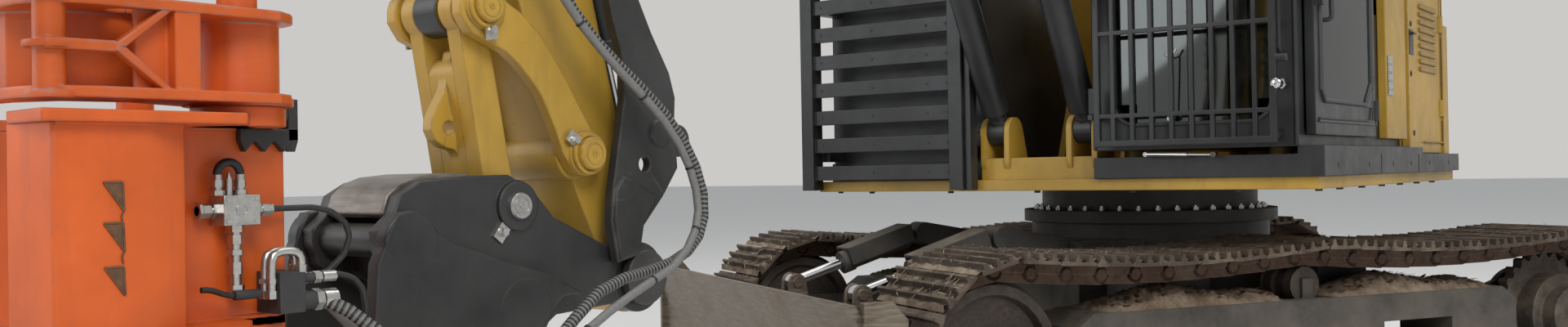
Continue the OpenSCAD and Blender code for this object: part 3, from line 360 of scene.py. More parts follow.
class Bag:
    """Vertices and faces of one piece, gathered from simple forms."""

    def __init__(self):
        self.v, self.f = [], []

    def add(self, verts, faces):
        k = len(self.v)
        self.v += [tuple(p) for p in verts]
        self.f += [tuple(i + k for i in f) for f in faces]

    def box(self, c, s):
        c = at(c)
        pts = [c + Vector((x * s[0] / 2, y * s[1] / 2, z * s[2] / 2))
               for x in (-1, 1) for y in (-1, 1) for z in (-1, 1)]
        self.add(pts, [(0, 1, 3, 2), (4, 6, 7, 5), (0, 4, 5, 1), (2, 3, 7, 6), (0, 2, 6, 4), (1, 5, 7, 3)])

    def prism(self, pts, a, b, o, ex=X, ey=Z, ez=Y):
        """Outline pts in (ex, ey), drawn out from a to b along ez."""
        n, o = len(pts), at(o)
        v = [o + ex * p[0] + ey * p[1] + ez * k for k in (a, b) for p in pts]
        self.add(v, caps_of(2, n) + belts(2, n))

    def cyl(self, p, q, r, n=16, r2=None):
        p, q = at(p), at(q)
        x, y, _ = cross_axes(q - p)
        v = around(p, x, y, r, n) + around(q, x, y, r if r2 is None else r2, n)
        self.add(v, caps_of(2, n) + belts(2, n))

    def ring(self, c, axis, r0, r1, h, n=32):
        c, (x, y, z) = at(c), cross_axes(axis)
        v = []
        for k, r in ((0, r0), (0, r1), (h, r1), (h, r0)):
            v += around(c + z * k, x, y, r, n)
        self.add(v, belts(4, n, True))

    def nut(self, c, axis, r, h):
        c = at(c)
        self.cyl(c, c + Vector(axis).normalized() * h, r, 6)

    def tube(self, pts, r, n=8):
        """Round bar along the points; r is one radius or one for each point."""
        pts = [at(p) for p in pts]
        rr = r if hasattr(r, "__len__") else [r] * len(pts)
        up, v, m = None, [], len(pts)
        for i, p in enumerate(pts):
            t = (pts[min(i + 1, m - 1)] - pts[max(i - 1, 0)]).normalized()
            up = t.orthogonal().normalized() if up is None else (up - t * up.dot(t)).normalized()
            v += around(p, up, t.cross(up), rr[i], n)
        self.add(v, belts(m, n) + caps_of(m, n))

    def make(self, name, look, smooth=35, bevel=0.0):
        """Object of what was gathered; edges over smooth degrees stay sharp."""
        me = bpy.data.meshes.new(name)
        me.from_pydata(self.v, [], self.f)
        me.validate()
        bm = bmesh.new()
        bm.from_mesh(me)
        bmesh.ops.recalc_face_normals(bm, faces=bm.faces)
        bm.to_mesh(me)
        bm.free()
        o = link(bpy.data.objects.new(name, me))
        me.materials.append(M[look])
        if smooth:
            me.shade_smooth()
            me.set_sharp_from_angle(angle=math.radians(smooth))
        if bevel:
            b = o.modifiers.new("edge", "BEVEL")
            b.width, b.segments, b.limit_method, b.angle_limit = bevel, 2, "ANGLE", math.radians(40)
        return o

    def done(self, name, body, look, smooth=35, bevel=0.0):
        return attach(self.make(name, look, smooth, bevel), body)


def link(o):
    bpy.context.scene.collection.objects.link(o)
    return o


def spline(a, b, c, d, t):
    """Point at t between b and c on a smooth line through all four."""
    square, cube = 2 * a - 5 * b + 4 * c - d, 3 * b - a - 3 * c + d
    return 0.5 * (2 * b + (c - a) * t + square * t * t + cube * t ** 3)


def curve(points, step=0.03):
    """Smooth line through the points, in steps of about that length."""
    p = [at(q) for q in points]
    p = [2 * p[0] - p[1]] + p + [2 * p[-1] - p[-2]]
    out = []
    for i in range(1, len(p) - 2):
        k = max(2, int((p[i + 1] - p[i]).length / step))
        out += [spline(*p[i - 1:i + 3], j / k) for j in range(k)]
    return out + [p[-2]]


# Hoses
def smooth_line(points, steps):
    """Line through the points, with a fixed number of steps, as the part's own tubes run."""
    q = [at(p) for p in points]
    n = len(q) - 1
    out = []
    for k in range(steps + 1):
        t = k * n / steps
        i = min(int(t), n - 1)
        out.append(spline(*(q[max(0, min(n, i + j))] for j in (-1, 0, 1, 2)), t - i))
    return out


def fine(points, step):
    """Points of a line again at an even step."""
    points = [at(p) for p in points]
    out, left = [points[0]], step
    for a, b in zip(points, points[1:]):
        d = (b - a).length
        along = 0.0
        while d - along > left:
            along += left
            left = step
            out.append(a.lerp(b, along / d))
        left -= d - along
    return out + [points[-1]]


# the long hoses pass from the stick's body to the coupler's between these places
CROSS_START, CROSS_END = house(4.46, 0.15, 2.28), house(4.75, 0.39, 0.78)


def cross(o):
    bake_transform(o)


THICK = [(4.41134, 0.13, 2.12763), (4.38, 0.136, 2.028), (4.345, 0.16, 1.9), (4.3, 0.192, 1.76),
         (4.24, 0.212, 1.64), (4.165, 0.228, 1.55), (4.08, 0.244, 1.475), (3.985, 0.256, 1.4),
         (3.9, 0.266, 1.315), (3.845, 0.275, 1.225), (3.822, 0.284, 1.135), (3.84, 0.294, 1.06),
         (3.892, 0.304, 1.005), (3.975, 0.314, 0.97), (4.09, 0.324, 0.95), (4.21, 0.338, 0.935),
         (4.33, 0.356, 0.895), (4.45, 0.385, 0.815), (4.57, 0.4, 0.78), (4.69, 0.396, 0.768),
         (4.795, 0.37, 0.795), (4.866, 0.328, 0.856), (4.924, 0.286, 0.918), (4.98003, 0.2543, 0.9553)]
THIN = [(4.45436, 0.13, 2.11439), (4.425, 0.142, 2.018), (4.4, 0.178, 1.9), (4.352, 0.22, 1.77),
        (4.29, 0.246, 1.645), (4.22, 0.266, 1.555), (4.14, 0.282, 1.475), (4.055, 0.296, 1.4),
        (3.975, 0.308, 1.32), (3.922, 0.318, 1.235), (3.897, 0.326, 1.155), (3.903, 0.336, 1.085),
        (3.945, 0.348, 1.02), (4.035, 0.366, 0.96), (4.145, 0.38, 0.925), (4.255, 0.39, 0.885),
        (4.36, 0.4, 0.84), (4.48, 0.412, 0.775), (4.6, 0.408, 0.724), (4.715, 0.376, 0.712),
        (4.81, 0.316, 0.752), (4.874, 0.254, 0.84), (4.924, 0.214, 0.926), (4.98003, 0.2043, 0.9533)]
LOOP_A = [(5.06703, 0.2103, 1.145), (5.005, 0.216, 1.145), (4.955, 0.226, 1.142), (4.912, 0.232, 1.112),
          (4.902, 0.232, 1.07), (4.93, 0.22, 1.016), (4.98003, 0.2043, 0.9973)]
LOOP_B = [(5.22973, 0.236, 0.992), (5.207, 0.236, 0.99), (5.183, 0.233, 0.98), (5.15903, 0.2283, 0.9753)]
LOOP_C = [(4.98003, 0.2543, 1.0013), (4.934, 0.262, 1.003), (4.904, 0.272, 0.982), (4.892, 0.276, 0.938),
          (4.896, 0.272, 0.88), (4.914, 0.264, 0.82), (4.944, 0.25, 0.776), (4.98373, 0.24, 0.76)]


GUARD_STEP, GUARD_DIP, HOSE_N = 0.00325, 0.0009, 12  # pitch and depth of a guard's rings, sides of a hose
THIN_STEPS = 30


def hose(name, route, steps, radius, body, look, wound=False):
    """Hose along its route: smooth, or with the rings of a guard wound round it."""
    path = fine(smooth_line(route, steps), GUARD_STEP if wound else 0.012)
    bag = Bag()
    rings = [radius - (GUARD_DIP if i % 2 else 0.0) for i in range(len(path))]
    bag.tube(path, rings if wound else radius, HOSE_N)
    o = bag.make(name, look, 20 if wound else 60)
    if wound:
        o.data.materials.append(M["rubber"])
        for f in o.data.polygons:
            side = f.index < HOSE_N * (len(path) - 1)
            f.material_index = f.index // (2 * HOSE_N) % 2 if side else 1
    if body:
        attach(o, body)
    else:
        cross(o)


hose("hose_guarded", THICK, 28, 0.015, None, "grey_hose", True)
hose("hose_sleeved", THIN, THIN_STEPS, 0.011, None, "grey_hose")
hose("hose_loop_a", LOOP_A, 8, 0.0065, "coupler", "rubber")
hose("hose_loop_b", LOOP_B, 5, 0.006, "coupler", "rubber")
hose("hose_loop_c", LOOP_C, 9, 0.0068, "coupler", "rubber")

# Tracks
BASE, PIN, LINK_H, SHOE_T, LUG, SAG, N = 3.2, 0.35, 0.09, 0.02, 0.025, 0.042, 50
SHOE_HALF, SHOE_PITCH, TOP = 0.299, 0.172, LINK_H / 2  # TOP: from the pins to the chain's outer side
TRACK_C = PIN + LINK_H / 2 + SHOE_T + LUG
LOOP = 2 * BASE + 2 * math.pi * PIN
PITCH = LOOP / N


def way(s):
    """Place (u, z) of a chain pin at s along the loop; the upper run sags on both sides of its roller."""
    s = s % LOOP
    if s < BASE:
        return s - BASE / 2, TRACK_C - PIN
    bend = math.pi * PIN
    if s < BASE + bend:
        a = (s - BASE) / PIN - math.pi / 2
        return BASE / 2 + PIN * math.cos(a), TRACK_C + PIN * math.sin(a)
    if s < 2 * BASE + bend:
        f = (s - BASE - bend) / BASE
        g = 2 * f if f < 0.5 else 2 * f - 1
        return BASE / 2 - f * BASE, TRACK_C + PIN - SAG * 4 * g * (1 - g)
    a = (s - 2 * BASE - bend) / PIN + math.pi / 2
    return -BASE / 2 + PIN * math.cos(a), TRACK_C + PIN * math.sin(a)


# section of a shoe with its three lugs: along the link, out from the chain
SHOE = [(0.004, -0.002), (0.012, 0.012), (0.018, 0.016), (0.022, 0.04), (0.034, 0.04), (0.04, 0.014),
        (0.074, 0.012), (0.08, 0.043), (0.092, 0.043), (0.098, 0.012), (0.134, 0.014), (0.14, 0.041),
        (0.152, 0.041), (0.157, 0.016), (0.172, 0.012), (0.176, 0.002), (0.168, 0.0), (0.012, -0.004)]


def stadium(r0, r1, d, n=5):
    """Outline of a link's side plate round two pins d apart."""
    half = [math.pi * i / n for i in range(n + 1)]
    out = [(r0 * math.cos(a), r0 * math.sin(a)) for a in (math.pi / 2 + h for h in half)]
    return out + [(d + r1 * math.cos(a), r1 * math.sin(a)) for a in (-math.pi / 2 + h for h in half)]


def links(hand):
    """Each link's number, pins, length, origin, and its axes along and out."""
    for k in range(N):
        a, b = Vector(way(k * PITCH)), Vector(way((k + 1) * PITCH))
        d = (b - a).normalized()
        yield k, a, b, (b - a).length, under(a[0], hand, a[1]), UX * d[0] + Z * d[1], UX * d[1] - Z * d[0]


for hand, t in SIDES:
    shoes, chain, bolts = Bag(), Bag(), Bag()
    name = "track_" + t
    for k, a, b, ln, o, ex, ey in links(hand):
        q = ln / SHOE_PITCH
        shoes.prism([(s * q, TOP + h + 0.002) for s, h in SHOE], -SHOE_HALF, SHOE_HALF, o, ex, ey, UY)
        for v in (-0.085, 0.035):
            chain.prism(stadium(0.04, 0.044, ln), v, v + 0.05, o, ex, ey, UY)
            foot = [(0.03, 0.0), (ln - 0.03, 0.0), (ln - 0.02, TOP + 0.002), (0.02, TOP + 0.002)]
            chain.prism(foot, v - 0.004, v + 0.054, o, ex, ey, UY)
        chain.cyl(o - UY * 0.096, o + UY * 0.096, 0.024, 10)
        for s in (0.057, 0.116):
            for v in (-0.06, 0.06):
                bolts.nut(o + ex * s * q + ey * (TOP + 0.012) + UY * v, ey, 0.013, 0.013)
    shoes.done(name + "_shoes", "undercarriage", "track", 30)
    chain.done(name + "_chain", "undercarriage", "chain", 30)
    bolts.done(name + "_bolts", "undercarriage", "chain", 0)
    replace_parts(bpy.data.objects[name + "_shoes"], name)


def blade(bag, p, w, mid, w2, tip):
    """Flat blade of straw or leaf: its foot, middle and tip, with the half widths."""
    bag.add([p - w, p + w, mid + w2, mid - w2, tip], [(0, 1, 2, 3), (3, 2, 4)])


# soil and dry grass left on the shoes of the upper runs, thickest at the left front
RIDGES, RIDGE_N, BED = (0.058, 0.116, 0.004), 16, TOP + 0.008
for hand, t in SIDES:
    mud, straw = Bag(), Bag()
    for k, a, b, ln, o, ex, ey in links(hand):
        if (a[1] + b[1]) / 2 < TRACK_C + 0.18:
            continue
        for s in RIDGES:
            v = []
            for i in range(RIDGE_N + 1):
                y = -0.29 + 0.58 * i / RIDGE_N
                h = TOP + 0.01 + random.uniform(0.0, 0.022)
                v += [o + ex * (s + ds) + ey * dh + UY * y for ds,
                      dh in ((-0.021, BED), (0, h), (0.021, BED))]
            mud.add(v, [(3 * i + j, 3 * i + 3 + j, 3 * i + 4 + j, 3 * i + 1 + j)
                        for i in range(RIDGE_N) for j in (0, 1)])
        for _ in range(90 if hand > 0 and 0.5 < a[0] < 1.75 else 24):
            c = o + ex * random.uniform(0, 0.17) + ey * (LINK_H / 2 + 0.02 + 0.024 * random.random())
            c += UY * random.uniform(-0.28, 0.28)
            h = random.uniform(0, math.pi)
            reach = (ex * math.cos(h) + UY * math.sin(h)) * random.uniform(0.03, 0.12)
            reach += ey * random.uniform(-0.002, 0.02)
            w = (ex * -math.sin(h) + UY * math.cos(h)) * 0.0015
            blade(straw, c, w, c + reach * 0.5 + ey * random.uniform(0.0, 0.01), w, c + reach)
    mud.done("track_soil_" + t, "undercarriage", "soil", 60)
    straw.done("track_straw_" + t, "undercarriage", "straw", 0)

# soil and leaves heaped on the track frames under the upper run, on both sides of its roller
HEAP_U, HEAP_V, HEAP_W, HEAP_Z = 70, 14, 0.292, 0.5985


def heap_height(a, c, hand):
    dome = 0.088 * math.sin(math.pi * a) ** 0.5 * math.sin(math.pi * c) ** 0.6
    return dome * (0.8 + 0.25 * math.sin(9 * a + 2 * hand))


for hand, t in SIDES:
    heap, twigs = Bag(), Bag()
    for u0, u1 in ((-1.1, -0.14), (0.14, 1.1)):
        v = []
        for i in range(HEAP_U + 1):
            for j in range(HEAP_V + 1):
                a, c = i / HEAP_U, j / HEAP_V
                h = heap_height(a, c, hand)
                h += random.uniform(-0.009, 0.012) if 0 < i < HEAP_U and 0 < j < HEAP_V else 0.0
                v.append(under(u0 + (u1 - u0) * a, hand + (c - 0.5) * HEAP_W, HEAP_Z + max(0.0, h)))
        heap.add(v, [(k, k + 1, k + HEAP_V + 2, k + HEAP_V + 1)
                     for k in (i * (HEAP_V + 1) + j for i in range(HEAP_U) for j in range(HEAP_V))])
        for _ in range(340):
            a, c = random.uniform(0.06, 0.94), random.uniform(0.12, 0.88)
            p = under(u0 + (u1 - u0) * a, hand + (c - 0.5) * HEAP_W, 0.602 + heap_height(a, c, hand))
            h = random.uniform(0, math.pi)
            d = Vector((math.cos(h), math.sin(h), random.uniform(-0.1, 0.3))) * random.uniform(0.02, 0.06)
            w = Vector((-math.sin(h), math.cos(h), 0)) * random.choice((0.0016, 0.0022, 0.009))
            blade(twigs, p, w, p + d * 0.6, w * 0.9, p + d)
    heap.done("frame_soil_" + t, "undercarriage", "soil", 50)
    twigs.done("frame_leaves_" + t, "undercarriage", "leaf", 0)

# Pins, pivots and their locks
def pivot(joint):
    """Side-view place of a joint, in the house's axes."""
    p = Vector(JOINT[joint]["pos_m"]) - SWING
    return p.x, p.z + SWING.z


FOOT, TIP, TOOL = pivot("boom_lift"), pivot("stick_swing"), pivot("tool_tilt")
TOP_PIN, SIDE_PIN, LINK_PIN = (4.46993, 1.61978), (4.14024, 1.25999), (4.38041, 1.12919)
BOOM_FOOT, BOOM_EYE = (1.18, 1.37), (2.1, 3.02)
STICK_FOOT, STICK_EYE = (2.55, 3.98), (5.17418, 3.84205)
TOOL_CYL, THUMB_FOOT, THUMB_EYE = (4.9572, 3.06873), (4.23671, 2.63124), (3.87854, 1.344)
LEAN = math.radians(17.1)


def on_stick(a, p):
    """Side-view place a along the stick from the tool pin and p to its front."""
    return (TOOL[0] + a * math.sin(LEAN) + p * math.cos(LEAN),
            TOOL[1] + a * math.cos(LEAN) - p * math.sin(LEAN))


def lean(degrees):
    """Side-view place of a way along and across, from the tool pin at that lean."""
    c, s = math.cos(math.radians(degrees)), math.sin(math.radians(degrees))
    return lambda a, p: (TOOL[0] + a * c - p * s, TOOL[1] + a * s + p * c)


on_thumb, on_coupler = lean(97), lean(26)


def spot(p, y):
    """Frame point of a side-view place at the width y."""
    return house(p[0], y, p[1])


def pin_end(bag, p, y, s, r, deep):
    """Turned end of a pin: disc with a chamfer, a groove and a centre hole's rim."""
    c, a = spot(p, s * y), Y * s
    bag.cyl(c, c + a * deep * 0.8, r, 36)
    bag.cyl(c + a * deep * 0.8, c + a * deep, r, 36, r * 0.9)
    bag.ring(c + a * deep, a, r * 0.6, r * 0.68, 0.0016, 36)
    bag.ring(c + a * deep, a, r * 0.1, r * 0.2, 0.0016, 16)


def lock(bag, p, y, s, toward, size=0.016):
    """Retaining tab with its bolt beside a pin."""
    c, a = spot(p, s * y), Y * s
    d = Vector((toward[0] - p[0], 0, toward[1] - p[1])).normalized()
    w = d.cross(a)
    tab = [(-size * 1.5, -size), (size * 1.2, -size), (size * 1.2, size), (-size * 1.5, size)]
    bag.prism(tab, 0, 0.007, c, d, w, a)
    bag.cyl(c + a * 0.007, c + a * 0.01, size * 0.85, 18)
    bag.nut(c + a * 0.01, a, size * 0.68, 0.01)


# place, body, outer face, radius of boss and pin, how far it stands out, place of the lock, look of the pin
PINS = [
    (SIDE_PIN, "side_links", 0.161, 0.056, 0.044, 0.03, (0.05, 0.036), "yellow"),
    (TOP_PIN, "side_links", 0.161, 0.052, 0.04, 0.026, (-0.012, -0.056), "yellow"),
    (LINK_PIN, "coupler", 0.1575, 0.062, 0.034, 0.024, (0.05, -0.063), "steel"),
    (TOOL, "coupler", 0.1575, 0.07, 0.034, 0.0035, None, "steel"),
    (TIP, "boom", 0.165, 0.12, 0.052, 0.014, (0.085, 0.06), "yellow"),
    (BOOM_EYE, "boom", 0.259, 0.05, 0.036, 0.012, (0.0, -0.052), "steel"),
    (BOOM_FOOT, "house", 0.287, 0.052, 0.033, 0.012, (0.052, 0.0), "steel"),
    (FOOT, "house", 0.18, 0.074, 0.043, 0.012, (0.07, -0.02), "steel"),
    (STICK_FOOT, "boom", 0.0825, 0.058, 0.038, 0.012, (0.0, -0.06), "steel"),
    (STICK_EYE, "stick", 0.1105, 0.07, 0.038, 0.012, (-0.062, 0.0), "steel"),
    (TOOL_CYL, "stick", 0.1105, 0.058, 0.036, 0.012, (-0.055, 0.0), "steel"),
    (THUMB_FOOT, "stick", 0.0575, 0.034, 0.021, 0.01, (0.036, 0.0), "steel"),
]
for k, (p, body, y, rb, rp, deep, off, look) in enumerate(PINS):
    boss, pin, locks = Bag(), Bag(), Bag()
    for s in (1, -1):
        boss.ring(spot(p, s * y), Y * s, rp + 0.001, rb, deep * 0.45, 36)
        pin_end(pin, p, y, s, rp, deep)
        if off:
            lock(locks, (p[0] + off[0], p[1] + off[1]), y, s, p)
    boss.done("pin_boss_%02d" % k, body, "black" if body == "coupler" else "yellow", 30, 0.0015)
    pin.done("pin_end_%02d" % k, body, look, 30)
    if off:
        locks.done("pin_lock_%02d" % k, body, "zinc", 30)

# grease pipes and nipples on the stick's foot, seen between the links
lube = Bag()
for s in (1, -1):
    for a, p in ((470, 40), (510, 52), (470, 64)):
        p = on_stick(a / 1000, p / 1000)
        lube.nut(spot(p, s * 0.11), Y * s, 0.009, 0.012)
        lube.cyl(spot(p, s * 0.122), spot(p, s * 0.134), 0.005, 10)
lube.done("stick_grease_points", "stick", "zinc", 30)
# three thin lines up the stick's front
lines = Bag()
for k, y in enumerate((0.03, 0.052, 0.074)):
    run = ((0.96, 0.15 + 0.012 * k), (1.01, 0.162 + 0.006 * k), (1.1, 0.17), (1.3, 0.178))
    lines.tube(curve([spot(on_stick(a, p), y) for a, p in run], 0.03), 0.006, 8)
lines.done("stick_front_lines", "stick", "rubber", 60)

# sleeve of the rod's eye on the top pin
eye = Bag()
eye.cyl(spot(TOP_PIN, -0.0445), spot(TOP_PIN, 0.0445), 0.0632, 48)
eye.done("tool_rod_eye", "tool_rod", "black", 30)
# clips and ties on the hoses
thin_line = smooth_line(THIN, THIN_STEPS)
ties = Bag()
for i in range(3, 27, 3):
    a, b = thin_line[i], thin_line[i + 1]
    if CROSS_END.x < a.x or a.z > 2.2:
        continue
    d = (b - a).normalized()
    ties.ring(a - d * 0.003, d, 0.0108, 0.0126, 0.006, 16)
cross(ties.make("hose_ties", "rubber", 30))

# Finer forms of the links, coupler, thumb and head
SKIN = 0.0002  # keeps a disc's faces off those of the plate it lies in


def arc(c, r, angles):
    return [(c[0] + r * math.cos(t), c[1] + r * math.sin(t)) for t in angles]


def disc(c, r, n=40):
    return arc(c, r, (2 * math.pi * i / n for i in range(n)))


def bar(p, q, r1, r2, n=14):
    """Outline round two discs."""
    d = math.hypot(q[0] - p[0], q[1] - p[1])
    a, off = math.atan2(q[1] - p[1], q[0] - p[0]), math.acos((r1 - r2) / d)
    one = [a + off + (2 * math.pi - 2 * off) * i / n for i in range(n + 1)]
    return arc(p, r1, one) + arc(q, r2, [a - off + 2 * off * i / n for i in range(n + 1)])


def pierced(pts, c, r, n=24):
    """Outline with a round hole, joined to it by a slit."""
    pts = list(pts)
    k = min(range(len(pts)), key=lambda i: math.hypot(pts[i][0] - c[0], pts[i][1] - c[1]))
    area = sum(a[0] * b[1] - b[0] * a[1] for a, b in zip(pts, pts[1:] + pts[:1]))
    t0, s = math.atan2(pts[k][1] - c[1], pts[k][0] - c[0]), -1 if area > 0 else 1
    return pts[:k + 1] + arc(c, r, [t0 + s * 2 * math.pi * i / n for i in range(n + 1)]) + pts[k:]


def side(bag, pts, y0, y1, both=True):
    """Plate in the side view between two widths."""
    for s in ((1, -1) if both else (1,)):
        bag.prism(pts, s * y0, s * y1, (0, 0, 0))


def across(bag, p, r, y0, y1, both=False):
    """Round bar across, between two widths."""
    for s in ((1, -1) if both else (1,)):
        bag.cyl(spot(p, s * y0), spot(p, s * y1), r, 40)


def stand_in(bag, name, body, look, node, bevel=0.0015):
    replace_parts(bag.done(name, body, look, 30, bevel), node)


def wider(a):
    """Way along the coupler, drawn out to the part's hook pins."""
    return a if a < 0.24 else a + 0.06 * (a - 0.24) / 0.453


LU = (Vector(TOP_PIN) - Vector(LINK_PIN)).normalized()


def on_link(a, p):
    return (LINK_PIN[0] + a * LU.x + p * LU.y, LINK_PIN[1] + a * LU.y - p * LU.x)


EYE = on_link(0.212, 0.058)
b = Bag()
side(b, bar(LINK_PIN, TOP_PIN, 0.046, 0.042), 0.05, 0.102)
side(b, disc(LINK_PIN, 0.07), 0.0502, 0.1018)
side(b, disc(TOP_PIN, 0.06), 0.0502, 0.1018)
side(b, bar(LINK_PIN, on_link(0.34, 0), 0.0455, 0.043), -0.051, 0.051, False)
side(b, disc(LINK_PIN, 0.069), -0.0508, 0.0508, False)
ear = [(0.41, -0.02), (0.4, 0.012), (0.35, 0.032), (0.305, 0.054), (0.272, 0.084), (0.245, 0.104),
       (0.216, 0.112), (0.188, 0.104), (0.168, 0.082), (0.155, 0.052), (0.09, 0.017), (0.09, -0.02)]
side(b, pierced([on_link(*p) for p in ear], EYE, 0.018), -0.018, 0.018, False)
stand_in(b, "power_link_form", "power_link", "yellow", "power_link")

b = Bag()
bow = [(4.42, 1.672), (4.395, 1.64), (4.345, 1.614), (4.292, 1.57), (4.248, 1.517), (4.202, 1.455),
       (4.16, 1.392), (4.118, 1.33), (4.084, 1.275), (4.098, 1.222), (4.14, 1.201), (4.184, 1.218),
       (4.216, 1.263), (4.238, 1.319), (4.26, 1.361), (4.287, 1.41), (4.322, 1.45), (4.357, 1.483),
       (4.399, 1.514), (4.458, 1.537), (4.507, 1.556), (4.538, 1.6), (4.53, 1.655), (4.482, 1.688)]
side(b, bow, 0.115, 0.151)
side(b, disc(SIDE_PIN, 0.059), 0.1152, 0.161)
side(b, disc(TOP_PIN, 0.068), 0.1152, 0.1508)
side(b, disc(TOP_PIN, 0.054), 0.1152, 0.161)
stand_in(b, "side_links_form", "side_links", "yellow", "side_links", 0.003)

EAR0, EAR1 = 0.115, 0.157
HOOKS = (on_coupler(0.753, -0.212), on_coupler(0.373, -0.236))
b = Bag()
edge = [(-0.02, 0.088), (0.158, 0.03), (0.34, 0.024), (0.423, 0.058), (0.5, 0.06), (0.598, 0.004),
        (0.7, -0.066), (0.733, -0.119), (0.729, -0.165), (0.748, -0.215), (0.7, -0.285), (0.3, -0.312),
        (0.24, -0.2), (0.04, -0.09)]
side(b, [on_coupler(wider(a), p) for a, p in edge], EAR0, EAR1)
for p, r in ((TOOL, 0.096), (LINK_PIN, 0.066), (HOOKS[0], 0.056)):
    side(b, disc(p, r), EAR0 + SKIN, EAR1 - SKIN)
block = [(0.345, -0.18), (0.64, -0.172), (0.655, -0.2), (0.62, -0.262), (0.47, -0.285), (0.345, -0.262)]
side(b, [on_coupler(wider(a), p) for a, p in block], -EAR0, EAR0, False)
for p in (TOOL, LINK_PIN):
    across(b, p, 0.038, -EAR1 - 0.012, EAR1 + 0.012)
stand_in(b, "coupler_form", "coupler", "black", "coupler")
out = [(0.575, 0.024), (0.635, -0.008), (0.693, -0.048), (0.722, -0.08), (0.738, -0.119), (0.735, -0.165)]
inner = [(a - 0.02 * (1 if i > 1 else 0.5), p - 0.02 * (0.1 if i > 3 else 1)) for i, (a, p) in enumerate(out)]
b = Bag()
side(b, [on_coupler(wider(a), p) for a, p in out + inner[::-1]], -EAR0, EAR0, False)
stand_in(b, "coupler_nose_form", "coupler", "nose", "coupler_nose", 0.003)

front = [(33, -118), (144, -155), (230, -156), (360, -146), (470, -138), (540, -146), (604, -163),
         (675, -200), (760, -232), (900, -258), (1020, -272), (1150, -262)]
back = [(752, -110), (673, -54), (575, 27), (509, 58), (445, 62), (313, 88), (231, 40), (140, -30), (60, -37)]
teeth = []
for i in (4, 3, 2, 1, 0):
    for g0, g1 in ((0.9, -34), (0.4, 0), (0, -34)):
        f = (i + g0) / 5
        teeth.append((790 + f * 360, g1 - 92 - 66 * f))
plate = [on_thumb(a / 1000, p / 1000) for a, p in front + teeth + back]
T0, T1 = 0.162, 0.192
b = Bag()
side(b, pierced(plate, on_thumb(0.308, -0.044), 0.022), T0, T1)
side(b, disc(TOOL, 0.075), T0 + SKIN, T1 - SKIN)
side(b, disc(on_thumb(0.39, 0.084), 0.046), T0 + SKIN, T1 - SKIN)
pad_edge = [(225, -150), (266, -123), (225, 10), (140, -38), (65, -45), (39, -112), (144, -147)]
side(b, [on_thumb(a / 1000, p / 1000) for a, p in pad_edge], T1 - 0.001, T1 + 0.008)
across(b, on_thumb(0.39, 0.084), 0.03, -T0, T0)
across(b, on_thumb(0.4, 0.005), 0.038, T1 - 0.001, T1 + 0.008, True)
across(b, on_thumb(1.095, -0.184), 0.018, -T0, T0)
side(b, bar(on_thumb(0.39, 0.084), THUMB_EYE, 0.034, 0.036), 0.035, 0.057)
stand_in(b, "thumb_form", "thumb", "thumb", "thumb", 0.003)

HX, HEAD_TOP, BACK, FACE_Y = 5.02003, 1.31, 0.18, 0.34
AP = (5.14, 0.22)
M0, M1 = 0.162, 0.202
b = Bag()
edge = [(0.213, -0.127), (0.342, -0.13), (0.481, -0.154), (0.588, -0.171), (0.64, -0.165), (0.671, -0.149),
        (0.71, -0.147), (0.748, -0.17)]
h0, h1 = HOOKS
foot = [(h0[0] + 0.09, h0[1] - 0.047), (h0[0] + 0.103, h0[1] - 0.232), (HX - 0.001, 0.79), (HX - 0.001, 0.33),
        (HX - 0.2, 0.36), (h1[0] + 0.026, h1[1] - 0.094), (h1[0] - 0.124, h1[1] + 0.026)]
side(b, [on_coupler(wider(a), p) for a, p in edge] + foot, M0, M1)
side(b, disc(h0, 0.07), M0 + SKIN, M1 - SKIN)
side(b, disc(h1, 0.08), M0 + SKIN, M1 - SKIN)
for h in HOOKS:
    across(b, h, 0.04, -M0, M0)
b.box((HX - 0.018, 0, 0.56), (0.0357, 2 * (M1 + 0.06), 0.46))
stand_in(b, "head_mount_form", "coupler", "black", "head_mount", 0.003)

ARC = [(0.6 - 0.215 * math.cos(t), 0.215 * math.sin(t))
       for t in (math.radians(73.8 - 147.6 * i / 24) for i in range(25))]


def plan(bag, pts, z0, z1):
    """Plan outline behind the throat, given for the left side."""
    ring = pts + ARC + [(x, -y) for x, y in pts[::-1]]
    bag.prism(ring, z0, z1, (HX, 0, 0), X, Y, Z)


b = Bag()
b.prism([(0, -BACK), (0.29, -BACK), (0.29, BACK), (0, BACK)], 0.3, HEAD_TOP, (HX, 0, 0), X, Y, Z)
plan(b, [(0.271, 0), (0.271, 0.303), (0.352, FACE_Y), (0.52, FACE_Y)], 0.3, HEAD_TOP)
plan(b, [(0, 0), (0, 0.37), (0.55, 0.37)], 0.07, 0.32)
for z in (0.903, HEAD_TOP):
    plan(b, [(0, 0), (0, BACK), (0.107, BACK), (0.107, 0.24), (0.18, 0.365), (0.545, 0.365)], z, z + 0.022)
for s in (1, -1):
    c = house(AP[0], s * AP[1], 0)
    b.cyl(c + Z * HEAD_TOP, c + Z * 1.782, 0.038, 40)
    b.cyl(c + Z * HEAD_TOP, c + Z * 1.35, 0.089, 48)
    b.cyl(c + Z * 1.752, c + Z * 1.776, 0.068, 40)
stand_in(b, "head_column_form", "coupler", "orange", "head_column", 0.0025)

